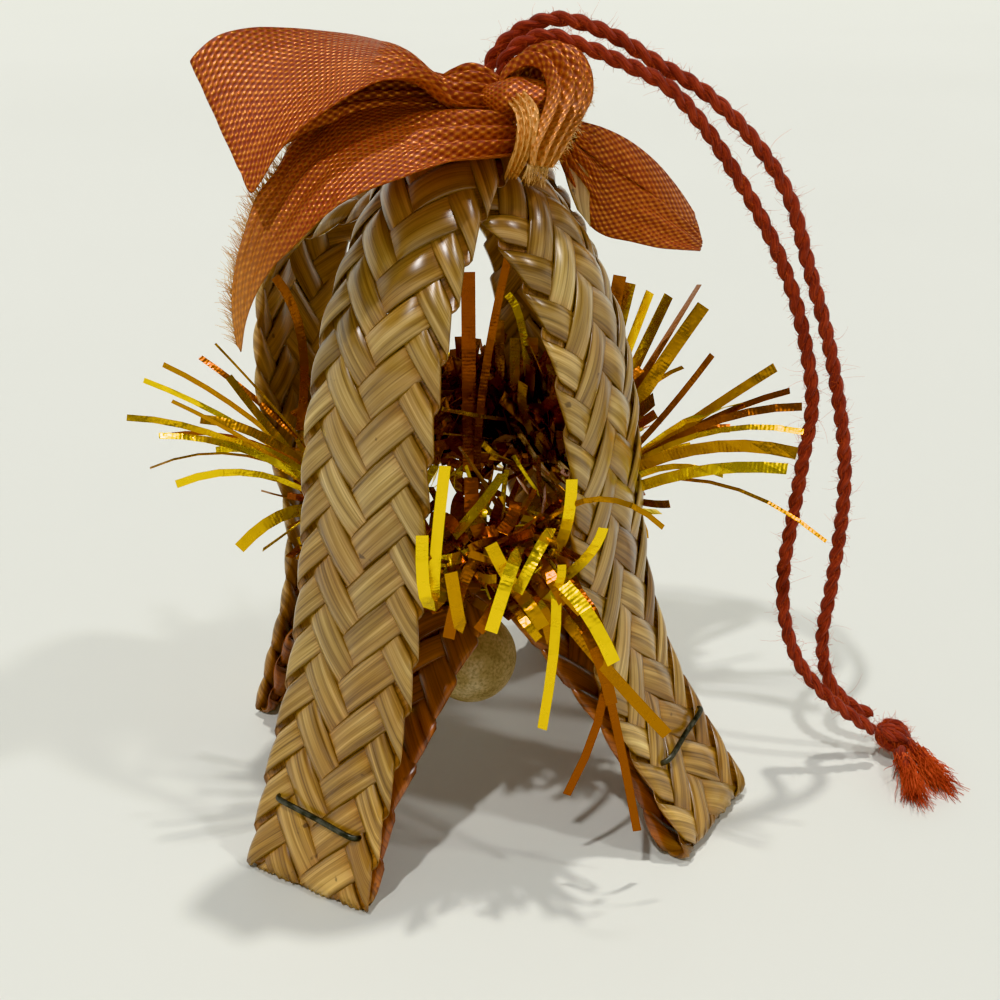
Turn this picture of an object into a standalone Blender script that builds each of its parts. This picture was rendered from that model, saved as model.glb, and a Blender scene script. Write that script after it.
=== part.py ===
"""Straw bell ornament: two plaited straw bands crossed into a four-footed bell.

Lengths are in millimetres in this file and become metres where a mesh is made.
Each band is one closed loop. From the crown it runs down an outer leg, folds at the foot,
rises inwards to an arch under the crown, and does the same on the opposite side.
The bow, the yarn and the tinsel's longest fronds are set out in the "bow frame", which is
the object's frame turned by BOW_TURN about +Z: x to the bow's right, y to its back.
"""
import math

import bmesh
import bpy
from mathutils import Matrix, Vector

MM = 0.001

# Plaited bands
PLAIT_WIDTH = 18.4
PLAIT_THICKNESS = 1.3
PLAIT_EDGE = 0.5
STRAND_PITCH = 5.24
TOOTH = 0.55
CROWN_TOP = 85.2
BAND_STEP = 2.1
ARCH_TOP = 31.6
CROWN_CUP = 0.049
ARCH_CUP = 0.022
ARCH_REACH = 24.0
LEG_CUP = 0.012
SOLE_SINK = 0.4
FOOT_STEP = 0.6
FOOT_REACH = 4.8

# Each leg's middle line as (radius, height): first down the outside, then up the inside.
LEGS = {
    "front": (
        [(8.3, 82.0), (14.7, 74.8), (19.6, 65.2), (22.7, 53.2), (24.3, 40.0), (28.0, 23.0),
         (32.4, 12.0), (35.4, 5.0)],
        [(37.2, 0.85), (35.5, 1.2), (33.5, 5.2), (30.6, 11.1), (25.5, 15.2), (21.4, 19.1),
         (17.5, 22.8), (12.5, 26.2)],
    ),
    "back": (
        [(8.3, 82.0), (15.6, 75.0), (20.8, 66.4), (22.6, 55.0), (22.9, 43.0), (26.0, 27.0),
         (31.4, 13.0), (35.1, 5.2)],
        [(37.1, 0.85), (35.4, 1.2), (33.3, 5.2), (29.8, 11.8), (25.2, 15.8), (21.2, 19.4),
         (17.5, 22.8), (12.5, 26.2)],
    ),
    "right": (
        [(8.3, 79.9), (13.9, 73.4), (18.0, 64.4), (20.0, 54.0), (20.9, 42.0), (22.6, 30.0),
         (26.0, 19.0), (30.6, 11.0), (35.0, 5.0)],
        [(36.9, 1.7), (34.8, 0.7), (32.8, 2.2), (31.2, 5.0), (28.9, 9.8), (24.0, 16.6),
         (20.5, 20.4), (17.5, 23.7), (12.5, 28.2)],
    ),
    "left": (
        [(8.3, 79.9), (17.0, 75.6), (23.2, 71.8), (26.7, 67.0), (28.2, 58.0), (27.4, 46.0),
         (24.4, 34.0), (24.9, 23.0), (27.8, 12.0), (29.8, 5.4)],
        [(31.2, 0.85), (29.4, 1.2), (28.0, 5.4), (26.0, 11.6), (23.0, 16.8), (20.2, 20.4),
         (17.2, 23.9), (12.5, 28.2)],
    ),
}

# Staples
STAPLE_LENGTH = 12.7
STAPLE_WIRE = 0.6
STAPLE_CLINCH = 3.2
STAPLE_HOLE = 1.15
CLEARANCE = 0.3
# Leg: (height of the staple's middle, slide along its crown, tilt in degrees)
STAPLES = {
    "front": (8.4, 0.0, -6.5),
    "right": (10.8, 1.4, 7.0),
    "back": (8.6, -0.4, 4.0),
    "left": (8.2, 0.5, -5.0),
}

# Clapper
BEAD_RADIUS = 6.25
BEAD_CENTRE = 14.2
THREAD_RADIUS = 0.5

# Tinsel
RING_HEIGHT = 38.0
RING_RADIUS = 16.2
RING_TUBE = 1.7
FROND_WIDTH = 1.6
FROND_THICKNESS = 0.4
# Four gaps between the legs: turn about Z, and how far that gap's fronds reach
FROND_GAPS = {45.0: 42.0, 135.0: 45.0, 225.0: 41.0, 315.0: 46.3}
# In each gap: turn from the gap's middle, share of the reach, height gained, droop
FRONDS = [(-17.0, 0.86, 6.0, -3.0), (-9.0, 1.00, 14.0, 2.0), (-3.0, 0.80, -6.0, -7.0),
          (4.0, 0.96, 3.0, 3.0), (10.0, 0.90, 20.0, 4.0), (17.0, 0.84, 9.0, -2.0)]

# Bow frame
BOW_TURN = math.radians(31.2)
RIBBON_THICKNESS = 0.7
KNOT_CENTRE = (6.5, -4.4, 88.9)
KNOT_RADII = (5.4, 4.4, 2.7)
# Ribbon lengths: pairs of points on the two selvedges, far one first
RIBBON_LOOP = [
    ((4.5, -2.6, 90.0), (4.5, -5.6, 88.4)),
    ((-2.0, 0.5, 91.0), (-2.0, -5.5, 89.8)),
    ((-6.5, 3.0, 92.7), (-6.5, -8.5, 91.0)),
    ((-12.5, 1.5, 94.8), (-11.5, -13.0, 90.7)),
    ((-19.5, -3.0, 96.0), (-16.0, -16.5, 87.8)),
    ((-25.5, -9.0, 95.6), (-19.6, -20.0, 85.0)),
    ((-29.2, -14.0, 93.0), (-22.5, -20.5, 81.2)),
    ((-28.0, -9.0, 89.5), (-21.6, -16.5, 79.6)),
    ((-20.0, -0.5, 88.6), (-16.0, -11.0, 83.4)),
    ((-10.0, 3.5, 88.6), (-8.5, -4.4, 86.8)),
    ((4.0, -2.6, 88.2), (4.0, -5.4, 87.8)),
]
RIBBON_FRONT_TAIL = [
    ((6.0, -4.6, 88.6), (7.4, -6.8, 87.4)),
    ((4.0, -6.5, 88.4), (7.0, -10.2, 83.8)),
    ((-2.0, -6.6, 88.9), (1.5, -14.0, 83.4)),
    ((-6.5, -7.6, 89.0), (-4.5, -17.0, 83.0)),
    ((-11.5, -8.6, 88.4), (-9.0, -19.0, 81.5)),
    ((-17.5, -11.0, 86.0), (-14.0, -20.0, 79.0)),
    ((-20.6, -13.6, 82.4), (-17.0, -20.2, 76.0)),
    ((-23.0, -15.6, 78.6), (-20.2, -20.3, 73.2)),
    ((-24.6, -17.4, 73.6), (-22.4, -20.3, 70.4)),
    ((-25.3, -18.8, 64.0), (-24.3, -20.2, 63.4)),
]
RIBBON_RIGHT_TAIL = [
    ((8.0, -3.0, 89.0), (8.0, -4.6, 87.6)),
    ((11.0, 0.4, 86.4), (10.6, 0.4, 83.0)),
    ((14.0, 4.6, 84.6), (13.4, 3.8, 76.0)),
    ((18.5, 9.0, 82.5), (16.6, 3.2, 71.8)),
    ((23.5, 13.0, 78.2), (20.6, 3.4, 70.3)),
    ((28.0, 15.6, 72.8), (25.2, 4.6, 68.9)),
    ((30.2, 14.6, 70.2), (29.4, 7.0, 68.5)),
]
RIBBON_TIE = [
    ((3.6, -1.4, 90.2), (5.2, -4.4, 89.6)),
    ((5.2, 0.6, 92.0), (6.6, -4.4, 91.5)),
    ((8.0, 1.6, 93.5), (8.5, -5.2, 92.6)),
    ((11.2, 1.4, 93.6), (10.2, -6.4, 91.9)),
    ((13.6, 0.2, 92.5), (10.6, -7.6, 90.4)),
    ((14.6, -2.4, 90.4), (10.0, -9.4, 88.8)),
    ((14.0, -5.4, 88.4), (9.0, -11.0, 86.9)),
    ((12.4, -8.2, 86.0), (8.0, -12.0, 84.2)),
    ((10.0, -10.6, 82.2), (7.4, -12.2, 82.0)),
]

# Hanging loop of yarn: two runs side by side, in the bow frame, then the knot on the table
YARN_RADIUS = 0.95
YARN_OUTER = [
    (2.1, 5.6, 87.4), (2.5, 5.6, 90.2), (3.6, 5.6, 92.7), (6.3, 5.2, 95.2), (10.7, 4.4, 96.6),
    (16.6, 3.2, 95.1), (22.3, 2.2, 91.9), (28.1, 0.9, 88.6), (33.9, 0.0, 83.3), (38.5, 0.0, 76.8),
    (41.4, 0.0, 68.8), (44.5, 0.0, 59.8), (46.8, 0.0, 51.0), (48.3, 0.0, 43.0), (48.7, 0.0, 35.9),
    (48.2, -0.2, 25.5), (47.6, -0.4, 16.7), (49.0, -0.7, 10.8), (52.1, -1.0, 7.2), (55.4, -1.3, 5.5),
]
YARN_INNER = [
    (4.9, 3.0, 87.5), (4.1, 2.6, 90.3), (5.4, 2.6, 93.2), (9.2, 2.5, 94.9), (13.4, 1.8, 93.9),
    (17.6, 1.0, 92.3), (23.3, 0.0, 89.6), (27.8, -0.2, 85.1), (32.0, 0.0, 79.4), (36.4, 0.0, 72.4),
    (39.9, 0.0, 65.0), (42.2, 0.0, 57.6), (43.5, 0.0, 50.5), (43.0, 0.0, 43.4), (42.3, 0.0, 35.0),
    (41.6, -0.4, 27.5), (42.0, -1.6, 20.9), (44.3, -3.0, 14.6), (48.7, -4.0, 9.7), (55.2, -4.0, 4.6),
]
YARN_POINTS = 42
YARN_KNOT_CENTRE = (58.1, -2.4, 3.1)
YARN_KNOT_RADII = (2.7, 2.5, 2.7)
YARN_TAILS = [((59.6, -3.6, 2.8), (62.4, -9.4, 1.1)), ((58.4, -4.6, 2.4), (58.8, -12.2, 1.1))]
YARN_TAIL_RADIUS = 0.9


def clear_scene():
    for item in list(bpy.data.objects):
        bpy.data.objects.remove(item, do_unlink=True)


def material(name, colour, roughness, metallic=0.0):
    result = bpy.data.materials.new(name)
    result.use_nodes = True
    shader = result.node_tree.nodes["Principled BSDF"]
    shader.inputs["Base Color"].default_value = (*colour, 1.0)
    shader.inputs["Roughness"].default_value = roughness
    shader.inputs["Metallic"].default_value = metallic
    return result


def new_object(name, bm, finish):
    """Turn a bmesh in millimetres into a named object in metres."""
    bmesh.ops.scale(bm, vec=(MM, MM, MM), verts=bm.verts)
    bmesh.ops.recalc_face_normals(bm, faces=bm.faces)
    mesh = bpy.data.meshes.new(name)
    bm.to_mesh(mesh)
    bm.free()
    mesh.materials.append(finish)
    mesh.shade_smooth()
    mesh.set_sharp_from_angle(angle=math.radians(40.0))
    result = bpy.data.objects.new(name, mesh)
    bpy.context.collection.objects.link(result)
    return result


def hidden_tool(item):
    item.hide_render = True
    item.display_type = "WIRE"


def boolean(item, tool, operation):
    modifier = item.modifiers.new(operation.title(), "BOOLEAN")
    modifier.operation = operation
    modifier.object = tool
    modifier.solver = "EXACT"
    hidden_tool(tool)


def spline(points, samples, closed=False):
    """Centripetal Catmull-Rom curve through the points, with samples steps in each span."""
    points = [Vector(p) for p in points]
    if closed:
        ring = [points[-1], *points, points[0], points[1]]
    else:
        ring = [2 * points[0] - points[1], *points, 2 * points[-1] - points[-2]]
    result = []
    for a, b, c, d in zip(ring, ring[1:], ring[2:], ring[3:]):
        t1 = max((b - a).length, 1e-6) ** 0.5
        t2 = t1 + max((c - b).length, 1e-6) ** 0.5
        t3 = t2 + max((d - c).length, 1e-6) ** 0.5
        for step in range(samples):
            t = t1 + (t2 - t1) * step / samples
            ab = a.lerp(b, t / t1)
            bc = b.lerp(c, (t - t1) / (t2 - t1))
            cd = c.lerp(d, (t - t2) / (t3 - t2))
            abc = ab.lerp(bc, t / t2)
            bcd = bc.lerp(cd, (t - t1) / (t3 - t1))
            result.append(abc.lerp(bcd, (t - t1) / (t2 - t1)))
    if not closed:
        result.append(points[-1])
    return result


def arc_lengths(line):
    lengths = [0.0]
    for a, b in zip(line, line[1:]):
        lengths.append(lengths[-1] + (b - a).length)
    return lengths


def at_length(line, lengths, wanted):
    """The point of a fine polyline at a length along it."""
    index = next((i for i, s in enumerate(lengths) if s > wanted), len(line) - 1)
    start = lengths[index - 1]
    share = (wanted - start) / max(lengths[index] - start, 1e-9)
    return line[index - 1].lerp(line[index], min(max(share, 0.0), 1.0))


def band_outline(near, far, crown, arch):
    """Closed middle line of a band as (along, height), with the near leg on the minus side.

    All of it is lowered by SOLE_SINK, so that the folds are pressed flat where they stand.
    """
    def leg(side, name):
        return [[(side * r, z) for r, z in layer] for layer in LEGS[name]]

    near_outer, near_inner = leg(-1.0, near)
    far_outer, far_inner = leg(1.0, far)
    points = [(0.0, crown), *near_outer, *near_inner, (0.0, arch),
              *reversed(far_inner), *reversed(far_outer)]
    return [Vector((x, z - SOLE_SINK)) for x, z in points]


def fold_lengths(line, lengths):
    """Lengths along the band at its two folds, the lowest points of the two feet."""
    return [min((p.y, s) for p, s in zip(line, lengths) if p.x * side > 0.0)[1]
            for side in (-1.0, 1.0)]


def band_stations(total, folds):
    """Half-pitch stations (length, tooth) round the band, with finer ones round each fold."""
    count = 2 * round(total / STRAND_PITCH)
    coarse = [(i * total / count, i % 2) for i in range(count)]
    coarse = [(s, tooth) for s, tooth in coarse
              if all(abs(s - fold) > FOOT_REACH + 0.5 for fold in folds)]
    steps = round(FOOT_REACH / FOOT_STEP)
    fine = [(fold + i * FOOT_STEP, 0.4) for fold in folds for i in range(-steps, steps + 1)]
    return sorted(coarse + fine)


def cup_at(point, inside):
    """How strongly the band is cupped across its width at a point of its middle line."""
    if inside:
        return -ARCH_CUP * max(0.0, 1.0 - (point.x / ARCH_REACH) ** 2)
    foot = min(max((point.y - 10.0) / 20.0, 0.0), 1.0)
    rise = min(max((point.y - 45.0) / 33.0, 0.0), 1.0)
    return LEG_CUP * foot + (CROWN_CUP - LEG_CUP) * rise ** 1.5


def band_section(cup, tooth):
    """Lens-shaped cross-section: (across, outwards) pairs, anticlockwise."""
    half = 0.5 * PLAIT_WIDTH - TOOTH * tooth
    flat = half - 1.3
    top, edge = 0.5 * PLAIT_THICKNESS, 0.5 * PLAIT_EDGE
    across = [(-half, edge), (-flat, top), (0.0, top), (flat, top), (half, edge),
              (half, -edge), (flat, -top), (0.0, -top), (-flat, -top), (-half, -edge)]
    if abs(cup) < 1e-4:
        return across
    radius = 0.5 / cup
    return [((radius + n) * math.sin(w / radius), (radius + n) * math.cos(w / radius) - radius)
            for w, n in across]


class Band:
    """One plaited loop: its middle line, and places along it in the object's frame."""

    def __init__(self, near, far, turn, crown, arch):
        self.line = spline(band_outline(near, far, crown, arch), 12, closed=True)
        self.line.append(self.line[0])
        self.lengths = arc_lengths(self.line)
        self.total = self.lengths[-1]
        self.folds = fold_lengths(self.line, self.lengths)
        self.turned = Matrix.Rotation(math.radians(turn), 3, "Z")

    def middle(self, s):
        return at_length(self.line, self.lengths, s % self.total)

    def outwards(self, s):
        along = (self.middle(s + 0.25) - self.middle(s - 0.25)).normalized()
        return Vector((along.y, -along.x))

    def place(self, across, spot):
        return self.turned @ Vector((across, spot.x, max(spot.y, 0.0)))

    def solid(self, name, finish):
        bm = bmesh.new()
        rings = []
        for s, tooth in band_stations(self.total, self.folds):
            middle, outwards = self.middle(s), self.outwards(s)
            cup = cup_at(middle, self.folds[0] < s < self.folds[1])
            rings.append([bm.verts.new(self.place(across, middle + lift * outwards))
                          for across, lift in band_section(cup, tooth)])
        for ring, following in zip(rings, rings[1:] + rings[:1]):
            for i, corner in enumerate(ring):
                j = (i + 1) % len(ring)
                bm.faces.new((corner, ring[j], following[j], following[i]))
        return new_object(name, bm, finish)


def staple_frame(band, side, height, slide, tilt):
    """Where a staple sits on a leg: its frame, and how far behind the inner layer ends."""
    outer = [(p, s) for p, s in zip(band.line, band.lengths)
             if p.x * side > 0.0 and not band.folds[0] < s < band.folds[1]]
    middle, s = min(outer, key=lambda item: abs(item[0].y - height) + 0.01 * abs(item[0].x))
    inner = [p for p, t in zip(band.line, band.lengths) if band.folds[0] < t < band.folds[1]]
    spread = min((p - middle).length for p in inner)
    out = band.outwards(s)
    centre = band.turned @ Vector((0.0, middle.x, middle.y))
    normal = band.turned @ Vector((0.0, out.x, out.y))
    across = band.turned @ Vector((-side, 0.0, 0.0))
    frame = Matrix((across, normal, across.cross(normal))).transposed().to_4x4()
    frame.translation = centre
    lean = Matrix.Rotation(math.radians(tilt), 4, "Y")
    return frame @ lean @ Matrix.Translation((slide, 0.0, 0.0)), spread


def staple_outline(spread):
    """The staple's flat outline, (across, outwards): a crown, two legs and two clinched ends."""
    half, wire = 0.5 * STAPLE_LENGTH, STAPLE_WIRE
    top = 0.5 * PLAIT_THICKNESS + CLEARANCE + wire
    low = -(1.04 * spread + 0.5 * PLAIT_THICKNESS + 1.5 * CLEARANCE)
    right = [(half, top), (half, low - wire), (half - STAPLE_CLINCH, low - wire),
             (half - STAPLE_CLINCH, low), (half - wire, low), (half - wire, top - wire)]
    return right + [(-x, y) for x, y in reversed(right)]


def make_staple(name, frame, spread, finish):
    bm = bmesh.new()
    back = [bm.verts.new((x, y, -0.5 * STAPLE_WIRE)) for x, y in staple_outline(spread)]
    side = bm.faces.new(back)
    pushed = bmesh.ops.extrude_face_region(bm, geom=[side])["geom"]
    moved = [v for v in pushed if isinstance(v, bmesh.types.BMVert)]
    bmesh.ops.translate(bm, vec=(0.0, 0.0, STAPLE_WIRE), verts=moved)
    bm.transform(frame)
    return new_object(name, bm, finish)


def staple_holes(name, frame, finish):
    """Two square punches where the staple's legs go through the plait."""
    bm = bmesh.new()
    for side in (-1.0, 1.0):
        x = side * 0.5 * (STAPLE_LENGTH - STAPLE_WIRE)
        size = Matrix.Diagonal((STAPLE_HOLE, 12.0, STAPLE_HOLE, 1.0))
        bmesh.ops.create_cube(bm, size=1.0, matrix=Matrix.Translation((x, 0.0, 0.0)) @ size)
    bm.transform(frame)
    return new_object(name, bm, finish)


def ball(name, centre, radii, segments, rings, finish):
    bm = bmesh.new()
    size = Matrix.Translation(centre) @ Matrix.Diagonal((*radii, 1.0))
    bmesh.ops.create_uvsphere(bm, u_segments=segments, v_segments=rings, radius=1.0, matrix=size)
    return new_object(name, bm, finish)


def make_thread(name, low, high, finish):
    bm = bmesh.new()
    bmesh.ops.create_cone(bm, cap_ends=True, segments=8, radius1=THREAD_RADIUS,
                          radius2=THREAD_RADIUS, depth=high - low,
                          matrix=Matrix.Translation((0.0, 0.0, 0.5 * (low + high))))
    return new_object(name, bm, finish)


def strip(name, pairs, thickness, samples, finish, turn=0.0):
    """Closed strip between two selvedges, each a smooth curve through its points."""
    far = spline([p for p, _ in pairs], samples)
    near = spline([p for _, p in pairs], samples)
    turned = Matrix.Rotation(turn, 3, "Z")
    bm = bmesh.new()
    rings = []
    for i, (a, b) in enumerate(zip(far, near)):
        before, after = max(i - 1, 0), min(i + 1, len(far) - 1)
        along = (far[after] + near[after]) - (far[before] + near[before])
        normal = along.cross(b - a).normalized() * 0.5 * thickness
        rings.append([bm.verts.new(turned @ p) for p in
                      (a + normal, b + normal, b - normal, a - normal)])
    for ring, following in zip(rings, rings[1:]):
        for j in range(4):
            k = (j + 1) % 4
            bm.faces.new((ring[j], ring[k], following[k], following[j]))
    bm.faces.new(rings[0])
    bm.faces.new(reversed(rings[-1]))
    return new_object(name, bm, finish)


def frond_pairs(gap, reach, turn, share, rise, droop):
    """A frond's two edges: out from the ring towards the gap, rising and drooping on the way."""
    angle = math.radians(gap + turn)
    across = Vector((math.cos(angle), math.sin(angle), 0.0)) * 0.5 * FROND_WIDTH
    out = Vector((math.sin(angle), -math.cos(angle), 0.0))
    pairs = []
    for step in range(5):
        t = step / 4.0
        middle = out * (RING_RADIUS + (share * reach - RING_RADIUS) * t)
        middle.z = RING_HEIGHT + rise * t + droop * 4.0 * t * (1.0 - t)
        pairs.append((middle - across, middle + across))
    return pairs


def make_tinsel(name, finish):
    bm = bmesh.new()
    around, sides = 28, 6
    rings = []
    for i in range(around):
        angle = 2.0 * math.pi * i / around
        ring = []
        for j in range(sides):
            turn = 2.0 * math.pi * j / sides
            radius = RING_RADIUS + RING_TUBE * math.cos(turn)
            ring.append(bm.verts.new((radius * math.cos(angle), radius * math.sin(angle),
                                      RING_HEIGHT + RING_TUBE * math.sin(turn))))
        rings.append(ring)
    for ring, following in zip(rings, rings[1:] + rings[:1]):
        for j in range(sides):
            k = (j + 1) % sides
            bm.faces.new((ring[j], ring[k], following[k], following[j]))
    tinsel = new_object(name, bm, finish)
    for gap, reach in FROND_GAPS.items():
        for number, frond in enumerate(FRONDS):
            pairs = frond_pairs(gap, reach, *frond)
            tool = strip(f"frond_{gap:.0f}_{number}", pairs, FROND_THICKNESS, 1, finish)
            boolean(tinsel, tool, "UNION")
    return tinsel


def make_bow(name, finish):
    turned = Matrix.Rotation(BOW_TURN, 3, "Z")
    bow = ball(name, turned @ Vector(KNOT_CENTRE), KNOT_RADII, 14, 8, finish)
    lengths = {"loop": RIBBON_LOOP, "front_tail": RIBBON_FRONT_TAIL,
               "right_tail": RIBBON_RIGHT_TAIL, "tie": RIBBON_TIE}
    for part, pairs in lengths.items():
        tool = strip(f"ribbon_{part}", pairs, RIBBON_THICKNESS, 2, finish, BOW_TURN)
        boolean(bow, tool, "UNION")
    return bow


def make_tube(name, points, count, radius, finish):
    """Round tube on a poly spline with count points spread evenly along a smooth route."""
    line = spline(points, 10)
    lengths = arc_lengths(line)
    turned = Matrix.Rotation(BOW_TURN, 3, "Z")
    curve = bpy.data.curves.new(name, "CURVE")
    curve.dimensions = "3D"
    curve.bevel_depth = radius * MM
    curve.bevel_resolution = 2
    curve.use_fill_caps = True
    route = curve.splines.new("POLY")
    route.points.add(count - 1)
    for i, point in enumerate(route.points):
        spot = turned @ at_length(line, lengths, lengths[-1] * i / (count - 1))
        point.co = (*(spot * MM), 1.0)
    curve.materials.append(finish)
    result = bpy.data.objects.new(name, curve)
    bpy.context.collection.objects.link(result)
    return result


def make_yarn_knot(name, finish):
    turned = Matrix.Rotation(BOW_TURN, 3, "Z")
    knot = ball(name, turned @ Vector(YARN_KNOT_CENTRE), YARN_KNOT_RADII, 12, 8, finish)
    for number, (root, tip) in enumerate(YARN_TAILS):
        root, tip = turned @ Vector(root), turned @ Vector(tip)
        bm = bmesh.new()
        placed = Matrix.Translation((root + tip) / 2) @ (
            (tip - root).to_track_quat("Z", "Y").to_matrix().to_4x4())
        bmesh.ops.create_cone(bm, cap_ends=True, segments=8, radius1=YARN_TAIL_RADIUS,
                              radius2=YARN_TAIL_RADIUS, depth=(tip - root).length, matrix=placed)
        boolean(knot, new_object(f"yarn_tail_{number}", bm, finish), "UNION")
    return knot


def build():
    clear_scene()
    straw = material("plaited straw", (0.50, 0.36, 0.14), 0.45)
    steel = material("staple steel", (0.35, 0.34, 0.30), 0.35, 1.0)
    bead = material("matt bead", (0.30, 0.24, 0.15), 0.85)
    cotton = material("cotton thread", (0.55, 0.48, 0.36), 0.9)
    foil = material("gold foil", (0.55, 0.38, 0.04), 0.2, 1.0)
    ribbon = material("copper ribbon", (0.42, 0.11, 0.03), 0.45)
    wool = material("rust wool", (0.32, 0.04, 0.02), 0.9)

    over = Band("front", "back", 0.0, CROWN_TOP, ARCH_TOP - BAND_STEP)
    under = Band("left", "right", -90.0, CROWN_TOP - BAND_STEP, ARCH_TOP)
    solids = {over: over.solid("straw_band_over", straw),
              under: under.solid("straw_band_under", straw)}
    for leg, (height, slide, tilt) in STAPLES.items():
        band, side = {"front": (over, -1.0), "back": (over, 1.0),
                      "left": (under, -1.0), "right": (under, 1.0)}[leg]
        frame, spread = staple_frame(band, side, height, slide, tilt)
        make_staple(f"staple_{leg}", frame, spread, steel)
        boolean(solids[band], staple_holes(f"holes_{leg}", frame, steel), "DIFFERENCE")

    ball("clapper_bead", (0.0, 0.0, BEAD_CENTRE), (BEAD_RADIUS,) * 3, 16, 10, bead)
    arch_underside = ARCH_TOP - BAND_STEP - SOLE_SINK - 0.5 * PLAIT_THICKNESS
    make_thread("clapper_thread", BEAD_CENTRE + BEAD_RADIUS + CLEARANCE,
                arch_underside - CLEARANCE, cotton)
    make_tinsel("tinsel_garland", foil)
    make_bow("ribbon_bow", ribbon)
    make_tube("yarn_run_outer", YARN_OUTER, YARN_POINTS, YARN_RADIUS, wool)
    make_tube("yarn_run_inner", YARN_INNER, YARN_POINTS, YARN_RADIUS, wool)
    make_yarn_knot("yarn_knot", wool)


build()
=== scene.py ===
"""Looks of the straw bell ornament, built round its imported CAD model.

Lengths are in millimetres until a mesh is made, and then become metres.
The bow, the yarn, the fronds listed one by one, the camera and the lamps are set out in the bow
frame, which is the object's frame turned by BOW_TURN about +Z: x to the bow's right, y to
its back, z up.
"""
import math

import bmesh
import bpy
import numpy as np
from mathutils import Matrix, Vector


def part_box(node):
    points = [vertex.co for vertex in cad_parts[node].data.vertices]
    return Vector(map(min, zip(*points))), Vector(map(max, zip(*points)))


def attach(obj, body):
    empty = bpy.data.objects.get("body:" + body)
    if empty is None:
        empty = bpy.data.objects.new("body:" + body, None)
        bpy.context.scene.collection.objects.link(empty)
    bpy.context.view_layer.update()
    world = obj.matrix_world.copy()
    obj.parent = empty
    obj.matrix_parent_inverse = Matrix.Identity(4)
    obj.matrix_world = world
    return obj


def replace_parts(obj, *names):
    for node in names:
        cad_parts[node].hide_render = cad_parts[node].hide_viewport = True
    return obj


MM = 0.001
BOW_TURN = math.radians(31.2)

# Camera
CAMERA_RISE = math.radians(23.2)
CAMERA_DISTANCE = 190.0
CAMERA_AIM = (4.03, 0.0, 37.3)
CAMERA_LENS = 52.6

# Lamps: direction they shine from in the bow frame, strength, angle across and colour
LAMPS = [
    ("lamp overhead", (0.04, 0.23, 0.97), 1.24, 2.5, "#FFFDF8"),
    ("lamp front left", (-0.22, -0.4, 0.89), 1.18, 2.5, "#FFFFFF"),
    ("lamp right", (0.56, -0.16, 0.81), 0.62, 4.0, "#FFFFFF"),
]
ROOM_LIGHT = 0.13
WALL_RADIUS = 2300.0
WALL_GLOW = 0.35
# Section of the wall, from the table up, as shares of WALL_RADIUS: (outwards, height)
WALL_PROFILE = [(0.9, 0.0), (0.93, 0.008), (0.97, 0.06), (0.99, 0.15), (1.0, 0.5)]

# Plaited bands: seven flat straws, each over two and under two, folded back at both edges
STRAWS = 7
REPEATS = 49
PLAIT_WIDTH = 18.4
PLAIT_LIFT = 0.4
PLAIT_CROWN = 0.46
STRAW_THICKNESS = 0.24
STRAW_FILL = 0.99
TOOTH = 0.8
SHINGLE = 0.09
STEPS_PER_PASS = 46
# Below 1, a float stays near its full height for longer, and its crossings are steeper
FLOAT_POWER = 0.8
# How far each straw drifts from the regular plait: share of its width, then millimetres
# along the band, millimetres of height, and share of its tone
WIDTH_DRIFT = 0.03
SHIFT_DRIFT = 0.11
HEIGHT_DRIFT = 0.035
TONE_DRIFT = 0.22
MEAN_TONE = 0.55
# The plait is pressed flatter at each foot's fold: share of its lift lost, and reach
FOLD_PRESS = 0.55
FOLD_PRESS_REACH = 2.2
INNER_EASE = 3.0
# Distance that keeps the straws' maps apart, so that no two show the same streaks
MAP_GAP = 400.0
CROWN_TOP = 85.2
BAND_STEP = 2.1
ARCH_TOP = 31.6
CROWN_CUP = 0.049
ARCH_CUP = 0.022
ARCH_REACH = 24.0
LEG_CUP = 0.012
# Heights between which a leg's cup comes in, and between which it grows to the crown's
LEG_CUP_HEIGHTS = (10.0, 30.0)
CROWN_CUP_HEIGHTS = (45.0, 78.0)
SOLE_SINK = 0.4
TABLE_GAP = 0.02

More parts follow.
